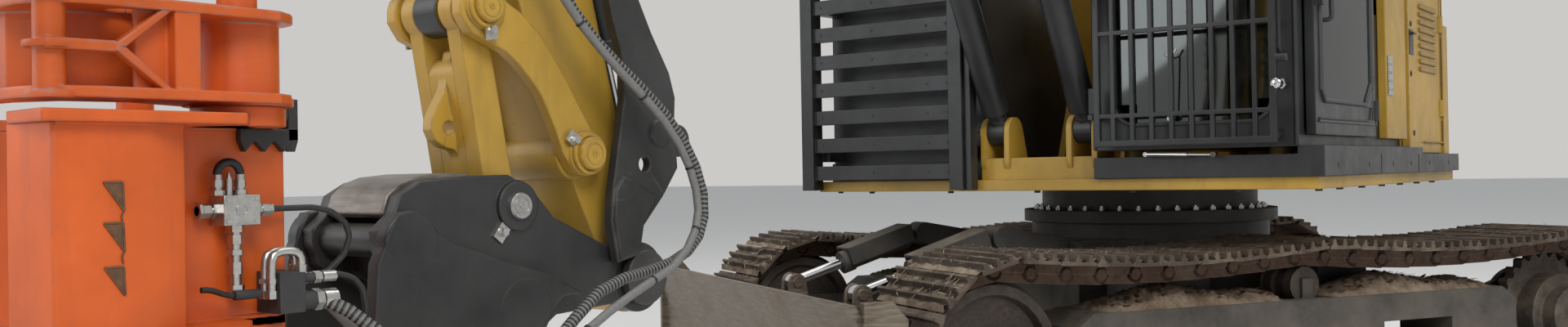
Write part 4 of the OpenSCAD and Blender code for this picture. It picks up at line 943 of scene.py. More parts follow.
ARM_Z, ARM_H = 1.3503, 0.186
edge = [(-80, -40), (-60, 96), (-20, 128), (180, 140), (330, 138), (402, 118), (428, 40), (430, -90),
        (418, -210), (384, -205), (374, -100), (330, -10), (220, 10), (60, -80)]
wall = [(190, 30), (335, 20), (398, -70), (405, -200), (380, -200), (366, -92), (320, -5), (190, 10)]
rib = ([(186, 0), (204, 0), (296, 0.46), (292, 0.5), (280, 0.5)],
       [(186, 1), (204, 1), (296, 0.54), (292, 0.5), (280, 0.5)],
       [(284, 0.5), (298, 0.56), (412, 0.56), (412, 0.44), (298, 0.44)])
for s, name, z in ((1, "arm_left", ARM_Z), (-1, "arm_right", ARM_Z + ARM_H + 0.02)):
    b = Bag()
    o, ey = house(AP[0], s * AP[1], z), Y * s
    b.cyl(o, o + Z * ARM_H, 0.078, 48)
    for k in (0, ARM_H - 0.018):
        b.cyl(o + Z * k, o + Z * (k + 0.018), 0.104, 48)
    sheet = pierced([(x / 1000, y / 1000) for x, y in edge], (0.255, 0.074), 0.034)
    for k in (0.0022, ARM_H - 0.0222):
        b.prism(sheet, k, k + 0.02, o, X, ey, Z)
    b.prism([(x / 1000, y / 1000) for x, y in wall], 0.01, ARM_H - 0.01, o, X, ey, Z)
    # outer rib: two legs that meet in a bar, with an opening between them
    h = ARM_H - 0.024
    for q in rib:
        b.prism([(x / 1000, 0.012 + f * h) for x, f in q], 0.112, 0.136, o, X, Z, ey)
    for x0, x1, y0, y1 in ((0.144, 0.192, 0.02, 0.136), (0.19, 0.252, 0.096, 0.106)):
        b.prism([(x0, 0.012), (x1, 0.012), (x1, 0.012 + h), (x0, 0.012 + h)], y0, y1, o, X, Z, ey)
    c = o + X * 0.392 + ey * 0.098
    b.cyl(c + Z * 0.002, c + Z * (ARM_H - 0.002), 0.026, 28)
    for k in (0.0, ARM_H / 2 - 0.006, ARM_H - 0.012):
        b.cyl(c + Z * k, c + Z * (k + 0.012), 0.042, 28)
    stand_in(b, name + "_form", name, "arm", name, 0.002)


def comb(l, top, n):
    """Outline of a plate with n teeth along its lower edge."""
    low, deep = 1.286, 0.024
    teeth = [((i + 0.25 + g / 2) * l / n, 1.262 + deep * (1 - g)) for i in range(n) for g in (0, 1)]
    return [(0, top), (0, low)] + teeth + [(l, low), (l, top)]


b = Bag()
b.prism(comb(0.4, 1.372, 8), 0, 0.0217, (HX - 0.022, -0.2, 0), Y, Z, X)
for y in (-0.2, 0.1803):
    b.prism(comb(0.127, 1.3097, 3), 0, 0.0197, (HX - 0.022, y, 0))
stand_in(b, "head_bumper_form", "coupler", "black", "head_bumper", 0.001)

# valve with its pipes, the block of ports under it, and the two pipes on the stick
V0 = Vector((5.14503, 0.2103, 1.145))
PX, PY, PZ = 5.03003, 0.1803, 0.9253
b = Bag()
b.box((V0.x, V0.y, V0.z), (0.076, 0.06, 0.06))
for x in (-0.012, 0.036):
    b.cyl((V0.x + x, V0.y, V0.z + 0.029), (V0.x + x, V0.y, V0.z + 0.072), 0.009, 24)
for s in (1, -1):
    b.cyl((V0.x + s * 0.038, V0.y, V0.z), (V0.x + s * 0.078, V0.y, V0.z), 0.011, 24)
b.cyl((V0.x, V0.y, V0.z - 0.17), (V0.x, V0.y, V0.z - 0.029), 0.011, 24)
stand_in(b, "valve_form", "coupler", "zinc", "valve_block", 0.001)
b = Bag()
b.box((PX + 0.028, PY + 0.048, PZ + 0.05), (0.056, 0.09, 0.084))
for y, z, r in ((0.028, 0.028, 0.014), (0.028, 0.072, 0.01), (0.074, 0.03, 0.019), (0.074, 0.076, 0.01)):
    b.cyl((PX - 0.05, PY + y, PZ + z), (PX + 0.001, PY + y, PZ + z), r, 24)
b.cyl((PX + 0.055, PY + 0.048, PZ + 0.05), (PX + 0.129, PY + 0.048, PZ + 0.05), 0.01, 24)
b.done("port_block", "coupler", "iron", 30, 0.001)
b = Bag()
for p, r in ((0.085, 0.015), (0.13, 0.011)):
    lo, hi = on_stick(1.29, p), on_stick(1.9, p)
    d = (spot(hi, 0.13) - spot(lo, 0.13)).normalized()
    b.cyl(spot(lo, 0.13), spot(lo, 0.13) + d * 0.07, r + 0.003, 24)
    b.cyl(spot(lo, 0.13), spot(hi, 0.13), r - 0.002, 24)
    b.cyl(spot(hi, 0.1103), spot(hi, 0.13 + r), r, 24)
plate = [on_stick(1.4, 0.05), on_stick(1.4, 0.155), on_stick(1.45, 0.155), on_stick(1.45, 0.05)]
side(b, plate, 0.1103, 0.13, False)
b.done("stick_pipes", "stick", "zinc", 40)

# Head
# weld marks on the column: a tab and a run below it
TAB = [(-0.02, 0.016), (0.012, 0.016), (0.014, -0.034)]
marks = Bag()
for s in (1, -1):
    for z in (1.188, 1.116, 1.038):
        c = house(HX + 0.415, s * FACE_Y, z)
        marks.prism(TAB, 0.0, 0.0022, c, -X, Z, Y * s)
        for pair in zip(TAB, TAB[1:] + TAB[:1]):
            marks.tube([c - X * p[0] + Z * p[1] + Y * s * 0.002 for p in pair], 0.0022, 6)
    for z in (1.188, 1.116):
        c = house(HX + 0.415, s * FACE_Y, z)
        run = [c - X * x + Z * z1 + Y * s * 0.0015 for x,
               z1 in ((0.014, -0.034), (0.01, -0.045), (0.012, -0.056))]
        marks.tube(curve(run, 0.004), 0.0016, 6)
marks.done("column_weld_marks", "coupler", "weld", 40)

welds = Bag()


def bead(pts, r, swell):
    """Weld bead along the points, swelling at every other step."""
    line = fine(pts, 0.012)
    welds.tube(line, [r + swell * (i % 2) for i in range(len(line))], 6)


for s in (1, -1):
    for z0 in (HEAD_TOP - 0.001, 0.925 + 0.001, 0.903 - 0.001):
        rim = [(HX + 0.273, s * 0.303, z0), (HX + 0.352, s * FACE_Y, z0), (HX + 0.515, s * FACE_Y, z0)]
        bead(rim, 0.0045, 0.0012)
        bead([(HX + 0.012, s * BACK, z0), (HX + 0.268, s * BACK, z0)], 0.0045, 0.0012)
    bead([(HX + 0.272, s * BACK, 0.93), (HX + 0.272, s * BACK, HEAD_TOP)], 0.004, 0.001)
welds.done("column_weld_beads", "coupler", "orange", 50)

screws = Bag()
for s in (1, -1):
    screws.ring((HX + 0.15, s * (BACK + 0.06), HEAD_TOP + 0.011), Y * s, 0.004, 0.008, 0.002, 18)
    for x in (0.31, 0.37, 0.43, 0.49):
        screws.nut((HX + x, s * (FACE_Y + 0.012), 0.925), Z, 0.01, 0.008)
screws.done("head_bolts", "coupler", "iron", 30)

caps = Bag()
for s in (1, -1):
    c = house(AP[0], s * AP[1], 1.35 + 0.372 + 0.054)
    caps.cyl(c, c + Z * 0.006, 0.05, 36, 0.044)
    caps.nut(c + Z * 0.006, Z, 0.018, 0.012)
    for a in range(6):
        t = math.radians(60 * a)
        caps.nut(c + Vector((math.cos(t), math.sin(t), 0)) * 0.036 + Z * 0.004, Z, 0.006, 0.006)
caps.done("post_cap_bolts", "coupler", "orange", 30)

# valve: hex fittings on its pipes, screws, and the pipes' black covers
fit, cover = Bag(), Bag()


def hexes(bag, base, axis, rows):
    """Hexagons along an axis; each row says where, how long and how wide."""
    for k, h, r in rows:
        bag.nut(base + axis * k, axis, r, h)


v0 = house(*V0)
hexes(fit, v0, X, [(0.038, 0.012, 0.017), (0.054, 0.016, 0.015), (0.072, 0.006, 0.018)])
hexes(fit, v0, -X, [(0.038, 0.012, 0.017), (0.054, 0.016, 0.014), (0.072, 0.006, 0.013)])
hexes(fit, v0, -Z, [(0.03, 0.014, 0.018), (0.05, 0.018, 0.015), (0.08, 0.01, 0.017), (0.104, 0.024, 0.014),
                    (0.15, 0.014, 0.017)])
for x in (-0.012, 0.036):
    hexes(fit, house(V0.x + x, V0.y, V0.z), Z, [(0.03, 0.01, 0.015), (0.046, 0.014, 0.012)])
fit.cyl((V0.x + 0.012, V0.y, V0.z + 0.03), (V0.x + 0.012, V0.y, V0.z + 0.062), 0.007, 14)
fit.cyl((V0.x + 0.012, V0.y, V0.z + 0.062), (V0.x + 0.012, V0.y, V0.z + 0.076), 0.007, 14, 0.002)
for x, z in ((-0.03, -0.022), (0.03, -0.022), (-0.03, 0.022), (0.03, 0.022)):
    fit.nut((V0.x + x, V0.y + 0.03, V0.z + z), Y, 0.005, 0.004)
fit.ring((V0.x, V0.y + 0.03, V0.z), Y, 0.009, 0.013, 0.002, 24)
fit.done("valve_fittings", "coupler", "zinc", 30)
half = [math.pi * i / 16 for i in range(17)]
arch = [(V0.x + 0.012 + 0.024 * math.cos(t), V0.y, V0.z + 0.072 + 0.024 * math.sin(t)) for t in half]
cover.tube(arch, 0.0085, 12)
cover.cyl((V0.x, V0.y, V0.z - 0.172), (V0.x, V0.y, V0.z - 0.172 + 0.02), 0.012, 14)
cover.done("valve_pipe_cover", "coupler", "rubber", 60)

# ports: white elbows and collars round the hose ends
elbow, collars = Bag(), Bag()
for dy, dz, r in ((0.028, 0.028, 0.0155), (0.074, 0.03, 0.0205), (0.028, 0.072, 0.0115),
                  (0.074, 0.076, 0.0115)):
    c = house(PX - 0.05, PY + dy if dy != 0.028 else PY + 0.024, PZ + dz)
    collars.ring(c - X * 0.028, X, r - 0.0048, r, 0.03, 20)
    hexes(collars, c + X * 0.006, X, [(0.0, 0.016, r * 1.12)])
ELBOW = ((0.004, 0.092), (0.004, 0.118), (0.014, 0.13), (0.036, 0.134), (0.058, 0.13), (0.068, 0.116),
         (0.07, 0.04))
for y in (0.06, 0.084):
    elbow.tube(curve([(PX + x, PY + y, PZ + z) for x, z in ELBOW], 0.006), 0.0085, 12)
    hexes(elbow, house(PX + 0.004, PY + y, PZ + 0.09), Z, [(0.0, 0.014, 0.0125)])
    hexes(elbow, house(PX + 0.07, PY + y, PZ + 0.04), Z, [(0.0, 0.016, 0.0125), (0.03, 0.01, 0.0115)])
collars.done("port_collars", "coupler", "zinc", 30)
elbow.done("port_elbows", "coupler", "zinc", 50)

# Cab
CAB_X0, CAB_Y0, CAB_Y1, CAB_TOP = -0.35, 0.3, 1.15, 2.93
WIN_LOW, WIN_TOP, POST = 1.375, 2.82, 0.095
# seal of the windscreen, with rounded lower corners
seals = Bag()
r0 = 0.09
y0, y1, z0, z1 = CAB_Y0 + POST, CAB_Y1 - POST, WIN_LOW, WIN_TOP
quarter = [math.pi / 2 * i / 8 for i in range(9)]
loop = [(y1, z1), (y0, z1)] + [(y0 + r0 - r0 * math.cos(a), z0 + r0 - r0 * math.sin(a)) for a in quarter] \
    + [(y1 - r0 + r0 * math.sin(a), z0 + r0 - r0 * math.cos(a)) for a in quarter] + [(y1, z1)]
seals.tube([(1.302, y, z) for y, z in loop], 0.009, 8)
seals.done("windscreen_seal", "house", "seal", 50)
# wiper on the windscreen
wiper = Bag()
wiper.tube([(1.318, 0.648, 1.405), (1.322, 0.652, 1.52), (1.316, 0.66, 1.665)], 0.0045, 8)
wiper.tube([(1.313, 0.622, 1.668), (1.313, 0.641, 1.652), (1.314, 0.66, 1.662), (1.313, 0.676, 1.686)],
           0.0045, 8)
wiper.cyl((1.3, 0.648, 1.4), (1.326, 0.648, 1.4), 0.014, 18)
wiper.done("wiper_arm", "house", "chrome", 50)
# gas strut in front of the cab's foot
strut = Bag()
a, b = house(1.33, 0.543, 1.25), house(1.33, 0.829, 1.243)
strut.cyl(a, a.lerp(b, 0.62), 0.011, 18)
strut.cyl(a.lerp(b, 0.6), b, 0.0055, 14)
strut.cyl(b - X * 0.012, b + X * 0.01, 0.012, 18)
strut.cyl(a - X * 0.03, a + X * 0.01, 0.01, 18)
strut.done("gas_strut", "house", "chrome", 40)
# grab rail and hinges on the front corner, and the knob of the guard's latch
CORNER_Y = 1.1
rails = Bag()
grip = ((1.3, 2.02), (1.345, 2.01), (1.352, 1.96), (1.352, 1.7), (1.345, 1.65), (1.3, 1.64))
rails.tube(curve([(x, CORNER_Y, z) for x, z in grip], 0.02), 0.011, 12)
for z in (1.315, 2.3):
    rails.cyl((1.3, 1.075, z), (1.34, 1.075, z), 0.018, 18)
    rails.cyl((1.326, 1.075, z - 0.03), (1.326, 1.075, z + 0.03), 0.011, 14)
rails.done("cab_grab_rails", "house", "black", 50)
knob = Bag()
KNOB = (CORNER_Y, 1.515)
knob.cyl((1.352, *KNOB), (1.398, *KNOB), 0.02, 22)
knob.cyl((1.398, *KNOB), (1.404, *KNOB), 0.02, 22, 0.012)
knob.nut((1.34, *KNOB), X, 0.026, 0.012)
knob.done("guard_latch_knob", "mesh_guard", "chrome", 40)
# raised tubes on the cab's corners and its roof lip
panel = Bag()
for x, y in ((1.296, 1.146), (CAB_X0 + 0.004, 1.146), (1.296, 0.304)):
    panel.tube([(x, y, 1.275), (x, y, 2.925)], 0.01, 10)
lip = ((CAB_X0, 1.148), (1.3, 1.148), (1.302, 1.148), (1.302, 0.302), (CAB_X0, 0.302))
panel.tube([(x, y, 2.915) for x, y in lip], 0.009, 8)
panel.done("cab_edge_trim", "house", "black", 50)
# roof hatch with its handle
hatch = Bag()
hatch.prism(oblong(0.56, 0.5), 0, 0.022, (0.3, 0.475, CAB_TOP), X, Y, Z)
hatch.tube([(0.33, 0.62, CAB_TOP + 0.022), (0.33, 0.62, CAB_TOP + 0.045), (0.33, 0.83, CAB_TOP + 0.045),
            (0.33, 0.83, CAB_TOP + 0.022)], 0.008, 10)
hatch.done("roof_hatch", "house", "black", 40, 0.006)


def work_lamp(name, body, place, aim, size=0.052):
    """Round work lamp: cup, rim, lens and its foot."""
    c, d = place, Vector(aim).normalized()
    cup, lens, foot = Bag(), Bag(), Bag()
    prof = [(-0.07, 0.35), (-0.055, 0.72), (-0.02, 0.96), (0.0, 1.0), (0.006, 1.0)]
    for (ta, ra), (tb, rb) in zip(prof, prof[1:]):
        cup.cyl(c + d * ta, c + d * tb, size * ra, 28, size * rb)
    cup.ring(c + d * 0.004, d, size * 0.88, size * 1.04, 0.008, 28)
    lens.cyl(c + d * 0.004, c + d * 0.009, size * 0.88, 28, size * 0.72)
    foot.cyl(c - d * 0.03, c - d * 0.03 - Z * (size + 0.03), 0.009, 12)
    cup.done(name + "_cup", body, "plastic", 40)
    lens.done(name + "_lens", body, "lens", 40)
    foot.done(name + "_foot", body, "black", 40)


for i, y in enumerate((0.4, 1.05)):
    work_lamp("roof_lamp_%d" % i, "house", house(1.18, y, CAB_TOP + 0.082), (1, 0, -0.25))

# door: window rubber and pane, fold line, pull
DOOR_FACE, PANE_FACE = 1.1945, 1.1922
rubber, plate = Bag(), Bag()
dx0, dx1, dz0, dz1 = 0.345, 1.125, 1.455, 2.77
ring = [(dx0, dz1), (dx0, dz0 + 0.1), (dx0 + 0.11, dz0), (dx1 - 0.04, dz0), (dx1, dz0 + 0.04), (dx1, dz1),
        (dx0, dz1)]
rubber.tube([(x, DOOR_FACE, z) for x, z in ring], 0.011, 8)
rubber.prism([(0, 0), (0.125, 0), (0, 0.115)], -0.0015, 0.004, (dx0 - 0.01, 1.193, dz0 - 0.01))
rubber.tube([(x, DOOR_FACE, dz0 - 0.085) for x in (dx0 - 0.04, dx1 + 0.04)], 0.006, 8)
rubber.done("door_window_rubber", "cab_door", "seal", 40)
pane = Bag()
pane.prism(ring[:-1], 0.0, 0.0016, (0, PANE_FACE, 0))
pane.done("door_window_pane", "cab_door", "pane", 30)
fold = Bag()
fold.tube([(dx0 - 0.045, DOOR_FACE, dz0 + 0.13), (dx0 + 0.035, DOOR_FACE, dz0 - 0.07),
           (dx1 + 0.03, DOOR_FACE, dz0 - 0.074)], 0.0045, 8)
fold.done("door_fold_line", "cab_door", "grey", 40)
handle = Bag()
grip = ((1.192, 1.78), (1.222, 1.785), (1.224, 1.83), (1.224, 1.96), (1.222, 2.0), (1.192, 2.01))
handle.tube(curve([(1.065, y, z) for y, z in grip], 0.02), 0.01, 12)
handle.done("door_pull", "cab_door", "plastic", 50)
# the fixed panel behind the cab door, flush with it, and the lock plate on it
panel = Bag()
flank = [(-0.346, 1.31), (0.04, 1.31), (0.04, 2.11), (0.015, 2.15), (-0.346, 2.15)]
panel.prism(flank, 1.1502, 1.19, (0, 0, 0))
panel.done("cab_rear_panel", "house", "yellow", 30, bevel=0.004)
plate.prism(oblong(0.09, 0.185), 0, 0.005, (-0.065, 1.1902, 1.515))
for i in range(2):
    for j in range(4):
        plate.ring((-0.04 + 0.04 * i, 1.1952, 1.545 + 0.04 * j), Y, 0.005, 0.01, 0.0015, 16)
plate.done("door_lock_plate", "house", "zinc", 30)

# inside the cab: consoles with levers, pedals, screen, floor mat
MAT_Z = 1.332
inside, levers, boots = Bag(), Bag(), Bag()
CONSOLE_R = [(0, 0), (0.62, 0), (0.62, 0.02), (0.46, 0.3), (0.02, 0.42), (0, 0.3)]
CONSOLE_L = [(0, 0), (0.42, 0), (0.42, 0.02), (0.36, 0.34), (0.02, 0.38), (0, 0.3)]
inside.prism(CONSOLE_R, -0.055, 0.055, (0.2, 0.475 - 0.06, MAT_Z))
inside.prism(CONSOLE_L, -0.045, 0.045, (0.34, 0.975, MAT_Z))
inside.prism([(0, 0), (0.1, 0), (0.13, 0.52), (0.05, 0.52)], -0.035, 0.035, (0.95, 0.42, MAT_Z))
deep, tall = X * 0.96 - Z * 0.28, Z * 0.96 + X * 0.28  # axes of the tilted screen
inside.prism(oblong(0.03, 0.19), -0.12, 0.12, (1.02, 0.5, 1.86), deep, tall, Y)
inside.prism(oblong(1.2, 0.012), 0.0, 0.72, (-0.02, 0.365, 1.331))
inside.done("cab_consoles", "house", "plastic", 35, 0.012)
screen = Bag()
screen.prism(oblong(0.21, 0.15), 0, 0.002, (1.018, 0.395, 1.88), Y, tall, -deep)
screen.done("cab_screen", "house", "screen", 0)
for y, x in ((0.42, 0.56), (0.975, 0.64)):
    base = house(x, y, 1.7)
    boots.cyl(base, base + Z * 0.055, 0.036, 20, 0.016)
    levers.tube([base + Z * 0.05, base + Z * 0.1 + X * 0.006, base + Z * 0.15 + X * 0.016],
                [0.009, 0.016, 0.02], 14)
    levers.tube([base + Z * 0.148 + X * 0.016, base + Z * 0.175 + X * 0.02, base + Z * 0.19 + X * 0.02],
                [0.02, 0.022, 0.01], 14)
for y in (0.62, 0.78):
    levers.tube([(0.98, y, 1.345), (0.96, y, 1.48), (0.93, y, 1.6)], 0.009, 10)
    boots.prism([(-0.045, 0), (0.045, 0), (0.045, 0.012), (-0.045, 0.012)], -0.11, 0.11, (0.99, y, 1.375), Y,
                (Z * 0.9 - X * 0.43), (X * 0.9 + Z * 0.43))
levers.done("cab_levers", "house", "plastic", 50)
boots.done("cab_boots_pedals", "house", "rubber", 50)
belt = Bag()
belt.prism(oblong(0.16, 0.022), 0, 0.012, (0.55, 0.955, 1.665))
belt.prism(oblong(0.012, 0.02), 0, 0.19, (0.905, 0.765, 1.572))
belt.tube([(0.905, 0.86, 1.7), (0.905, 0.925, 1.698)], 0.01, 8)
belt.done("cab_yellow_grips", "house", "yellow", 40, 0.003)


def pad(name, size, n, crown, place, ex, ey, ez, channels=0):
    """Padded cover: rounded block with a crown, its sides drawn in and its channels sewn in."""
    v, f = [], []
    nx, ny = n
    for side in (0, 1):
        for i in range(nx + 1):
            for j in range(ny + 1):
                u, w = 2 * i / nx - 1, 2 * j / ny - 1
                edge = (1 - abs(u) ** 5) * (1 - abs(w) ** 5)
                pull = 1 - 0.035 * (1 - abs(w) ** 2) * abs(u) ** 8
                k = size[2] / 2 * edge ** 0.38 + crown * edge * side
                if channels and side:
                    k -= 0.01 * max(0.0, 1 - abs(((u + 1) * channels / 2) % 1 - 0.5) * 16) * edge
                h = k if side else -k
                v.append(place + ex * (u * size[0] / 2 * pull) + ey * (w * size[1] / 2) + ez * h)
    m = (nx + 1) * (ny + 1)
    for s in (0, 1):
        for i in range(nx):
            for j in range(ny):
                k, l = s * m + i * (ny + 1) + j, s * m + (i + 1) * (ny + 1) + j
                f.append((k, l, l + 1, k + 1) if s else (k + 1, l + 1, l, k))
    rim = [i * (ny + 1) for i in range(nx)] + [nx * (ny + 1) + j for j in range(ny)]
    rim += [i * (ny + 1) + ny for i in range(nx, 0, -1)] + list(range(ny, 0, -1))
    f += [(a, b, m + b, m + a) for a, b in zip(rim, rim[1:] + rim[:1])]
    bag = Bag()
    bag.add(v, f)
    bag.done(name, "house", "seat", 50)


# seat: bellows on its base, cushion, back and arm rests
SX, SY = 0.27, 0.725
tilt = math.radians(8)
bx, bz = Vector((-math.sin(tilt), 0, math.cos(tilt))), Vector((math.cos(tilt), 0, math.sin(tilt)))
base = Bag()
stand = [(-0.15, 0), (0.19, 0), (0.17, 0.1), (0.17, 0.25), (-0.13, 0.25), (-0.13, 0.1)]
base.prism(stand, -0.17, 0.17, (SX, SY, 1.331))
fold = [(-0.176, -0.012), (0.196, -0.012), (0.206, 0), (0.196, 0.012), (-0.176, 0.012), (-0.186, 0)]
for k in range(7):
    base.prism(fold, -0.176, 0.176, (SX, SY, 1.365 + 0.032 * k))
base_o = base.done("seat_base", "house", "rubber", 30)
pad("seat_cushion", (0.47, 0.46, 0.105), (26, 26), 0.012, house(SX + 0.05, SY, 1.69), X, Y, Z, 3)
pad("seat_back", (0.6, 0.44, 0.09), (30, 24), 0.012, house(SX - 0.185, SY, 1.752) + bx * 0.315, bx, Y, bz, 4)
for s, t in SIDES[::-1]:
    rest = house(SX + 0.08, SY + s * 0.265, 1.905)
    pad("arm_rest_" + t, (0.34, 0.046, 0.055), (20, 8), 0.004, rest, X, Y, Z)
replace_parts(base_o, "seat")

# House: panels, rails, louvres, lamps
# bolts: the slew ring's two rows and the deck plate's underside
SLEW_R, DECK_R, DECK_LOW = 0.575, 0.5, 1.1
ring_bolts = Bag()
for x, y in disc((0, 0), SLEW_R):
    ring_bolts.nut((x, y, 0.985), Z, 0.015, 0.016)
    ring_bolts.cyl((x, y, 1.001), (x, y, 1.009), 0.007, 10)
ring_bolts.done("slew_ring_bolts", "undercarriage", "zinc", 30)
deck = Bag()
for i in range(36):
    t = 2 * math.pi * (i + 0.5) / 36
    deck.nut((DECK_R * math.cos(t), DECK_R * math.sin(t), 1.15), Z, 0.014, 0.014)
for x in (-0.9, -0.55, -0.2, 0.15, 0.5, 0.85, 1.15):
    for y in (1.185, -1.165):
        deck.nut((x, y, DECK_LOW), -Z, 0.014, 0.01)
for y in (-0.9, -0.45, 0.0, 0.45, 0.9):
    deck.nut((1.255, y, DECK_LOW), -Z, 0.014, 0.01)
deck.done("deck_bolts", "house", "iron", 30)
# grip strips on the step, seams and plugs of the deck beam
strip = Bag()
for i in range(46):
    x = -0.16 + 0.031 * i
    strip.prism([(0, 0), (0.012, 0), (0.009, 0.004), (0.003, 0.004)], 1.16, 1.242, (x, 0, 1.27))
strip.done("step_grip", "house", "grey", 30)
beam = Bag()
for x in (0.42, -0.3):
    beam.prism(oblong(0.003, 0.086), 0, 0.0016, (x, 1.25, 1.152))
for x in (1.1, 0.62, 0.2, -0.15, -0.55, -1.0):
    beam.cyl((x, 1.249, 1.195), (x, 1.2515, 1.195), 0.011, 18)
beam.done("beam_seams", "house", "black", 20)

# hood, service door and counterweight: louvres, latch, seams, lifting loops, exhaust, air intake, reflectors
# the louvres on the hood and door and the seams below are drawn in the darker yellow: painted shade in their
# grooves
vents = Bag()
for k in range(11):
    louvre = [(0, 0), (0.012, 0.004), (0.012, 0.03), (0, 0.012)]
    vents.prism(louvre, -0.55, 0.0, (-0.5, -1.2, 1.52 + 0.045 * k), -Y, Z, X)
vents.done("hood_vents_right", "house", "yellow_painted_shade", 30)
vents = Bag()
for k in range(9):
    louvre = [(0, 0), (0.01, 0.004), (0.01, 0.026), (0, 0.01)]
    vents.prism(louvre, -0.36, 0.0, (-0.64, 1.1895, 1.66 + 0.04 * k), Y, Z, X)
vents.done("door_vents", "service_door", "yellow_painted_shade", 30)
latch = Bag()
latch.prism(oblong(0.085, 0.125), 0, 0.003, (-0.515, 1.189, 1.735))
pull = ((-0.5, 1.191, 1.845), (-0.5, 1.205, 1.84), (-0.445, 1.205, 1.84), (-0.445, 1.191, 1.845))
latch.tube(pull, 0.006, 10)
for x, z in ((-0.47, 1.89), (-0.46, 1.64), (-0.5, 1.345)):
    latch.ring((x, 1.189, z), Y, 0.006, 0.014, 0.004, 20)
latch.done("door_latch", "service_door", "black", 30)
seam = Bag()
seam.tube([(-1.13, 1.1895, 1.3), (-1.13, 1.1895, 2.085)], 0.004, 6)
seam.done("door_seam", "service_door", "yellow_painted_shade", 30)
rear = Bag()
rear.tube([(-1.15, 1.196, 1.29), (-1.15, 1.196, 2.14)], 0.005, 6)
for z in (1.3, 2.145):
    rear.tube([(-1.15, 1.198, z), (-0.7, 1.198, z)], 0.005, 6)
for t in (-0.44, 0.44):
    rear.tube([(-1.752 * math.cos(t), -1.752 * math.sin(t), 1.11 + 0.82 * k / 6) for k in range(7)], 0.005, 6)
sweep = [-0.72 + 1.44 * i / 40 for i in range(41)]
rear.tube([(-1.751 * math.cos(a), -1.751 * math.sin(a), 1.3) for a in sweep], 0.005, 6)
rear.done("weight_seams", "house", "yellow_painted_shade", 40)
eyes = Bag()
for y in (-0.62, 0.62):
    for c, w, h, r in ((house(-1.42, y, 1.935), 0.055, 0.075, 0.013),
                       (house(-0.95, y, 2.15), 0.045, 0.055, 0.01)):
        half = (math.pi * i / 14 for i in range(15))
        eyes.tube([c + X * w * math.cos(a) + Z * (h * math.sin(a) - 0.004) for a in half], r, 12)
eyes.done("lifting_loops", "house", "iron", 50)
pipe = Bag()
pipe.ring((-0.86, 0.3, 2.149), Z, 0.052, 0.07, 0.014, 32)
bend = ((-0.86, 2.15), (-0.86, 2.3), (-0.872, 2.375), (-0.92, 2.43))
pipe.tube(curve([(x, 0.3, z) for x, z in bend], 0.02), 0.046, 24)
pipe.done("exhaust_pipe", "house", "iron", 50)
intake = Bag()
for z0, z1, r1, r2 in ((2.149, 2.25, 0.085, None), (2.25, 2.285, 0.125, 0.1), (2.285, 2.31, 0.1, 0.03)):
    intake.cyl((-0.86, -0.42, z0), (-0.86, -0.42, z1), r1, 32, r2)
intake.done("air_intake_cap", "house", "plastic", 40)
lid = Bag()
lid.prism(oblong(0.42, 1.1), 0, 0.012, (-1.12, -1.05, 2.1495), X, Y, Z)
lid.done("hood_top_panel", "house", "yellow", 30, 0.005)
tail = Bag()
for y in (-0.95, 0.95):
    a = math.asin(y / 1.75)
    c = house(-1.749 * math.cos(a), y, 1.72)
    n = Vector((-math.cos(a), math.sin(a), 0))
    w = n.cross(Z)
    tail.prism(centred(0.055, 0.022), 0, 0.012, c, w, Z, n)
tail.done("tail_reflectors", "house", "red", 30, 0.003)
# right side: handrail, tank cap, seams of the boxes
rails_r = Bag()
rail = ((1.1, 2.105), (1.1, 2.36), (1.06, 2.42), (0.3, 2.42), (0.0, 2.4), (-0.1, 2.3), (-0.1, 2.105))
rails_r.tube(curve([(x, -1.12, z) for x, z in rail], 0.05), 0.016, 12)
rails_r.tube([(0.5, -1.12, 2.1), (0.5, -1.12, 2.42)], 0.014, 12)
rails_r.done("right_handrail", "house", "black", 50)
tank = Bag()
tank.cyl((0.72, -0.74, 2.108), (0.72, -0.74, 2.15), 0.062, 30)
tank.cyl((0.72, -0.74, 2.15), (0.72, -0.74, 2.162), 0.062, 30, 0.05)
tank.ring((0.72, -0.74, 2.108), Z, 0.062, 0.085, 0.01, 30)
for i in range(18):
    t = 2 * math.pi * i / 18
    x, y = 0.72 + 0.062 * math.cos(t), -0.74 + 0.062 * math.sin(t)
    tank.cyl((x, y, 2.115), (x, y, 2.146), 0.005, 6)
tank.done("tank_cap", "house", "plastic", 40)
boxes = Bag()
boxes.tube([(0.48, -1.2005, 1.25), (0.48, -1.2005, 2.1)], 0.004, 6)
for x in (-0.1, 0.44, 0.52, 1.1):
    boxes.prism(centred(0.02, 0.035), 0, 0.01, (x, -1.2, 1.7), X, Z, -Y)
boxes.done("right_box_trim", "house", "grey", 30)
# rivets on the slats
slats = Bag()
for i in range(8):
    z = 1.157 + 0.138 * i + 0.0355
    for y in (-1.135, -0.83, -0.52, -0.41):
        slats.cyl((1.342, y, z), (1.3445, y, z), 0.007, 12)
slats.done("slat_rivets", "house", "iron", 30)
# mirror on the right side
mirror = Bag()
mirror.tube(curve([(1.24, -1.1, 2.1), (1.3, -1.16, 2.18), (1.33, -1.19, 2.3)], 0.03), 0.01, 10)
mirror.prism([(-0.075, -0.11), (0.075, -0.11), (0.085, 0), (0.075, 0.11), (-0.075, 0.11), (-0.085, 0)], 0.0,
             0.03, (1.335, -1.19, 2.4), Y, Z, X)
mirror.done("mirror_right", "house", "plastic", 40, 0.006)
glass = Bag()
glass.prism(centred(0.065, 0.1), -0.002, 0.0, (1.335, -1.19, 2.4), Y, Z, X)
glass.done("mirror_right_glass", "house", "chrome", 0)

# Stage, light, camera
FLOOR = 90  # half its width, past what the camera sees
me = bpy.data.meshes.new("floor")
me.from_pydata([(x, y, 0) for x, y in centred(FLOOR, FLOOR)], [], [(0, 1, 2, 3)])
floor = link(bpy.data.objects.new("floor", me))
me.materials.append(Graph("floor_paint").end((0.8, 0.79, 0.77), 0.9))

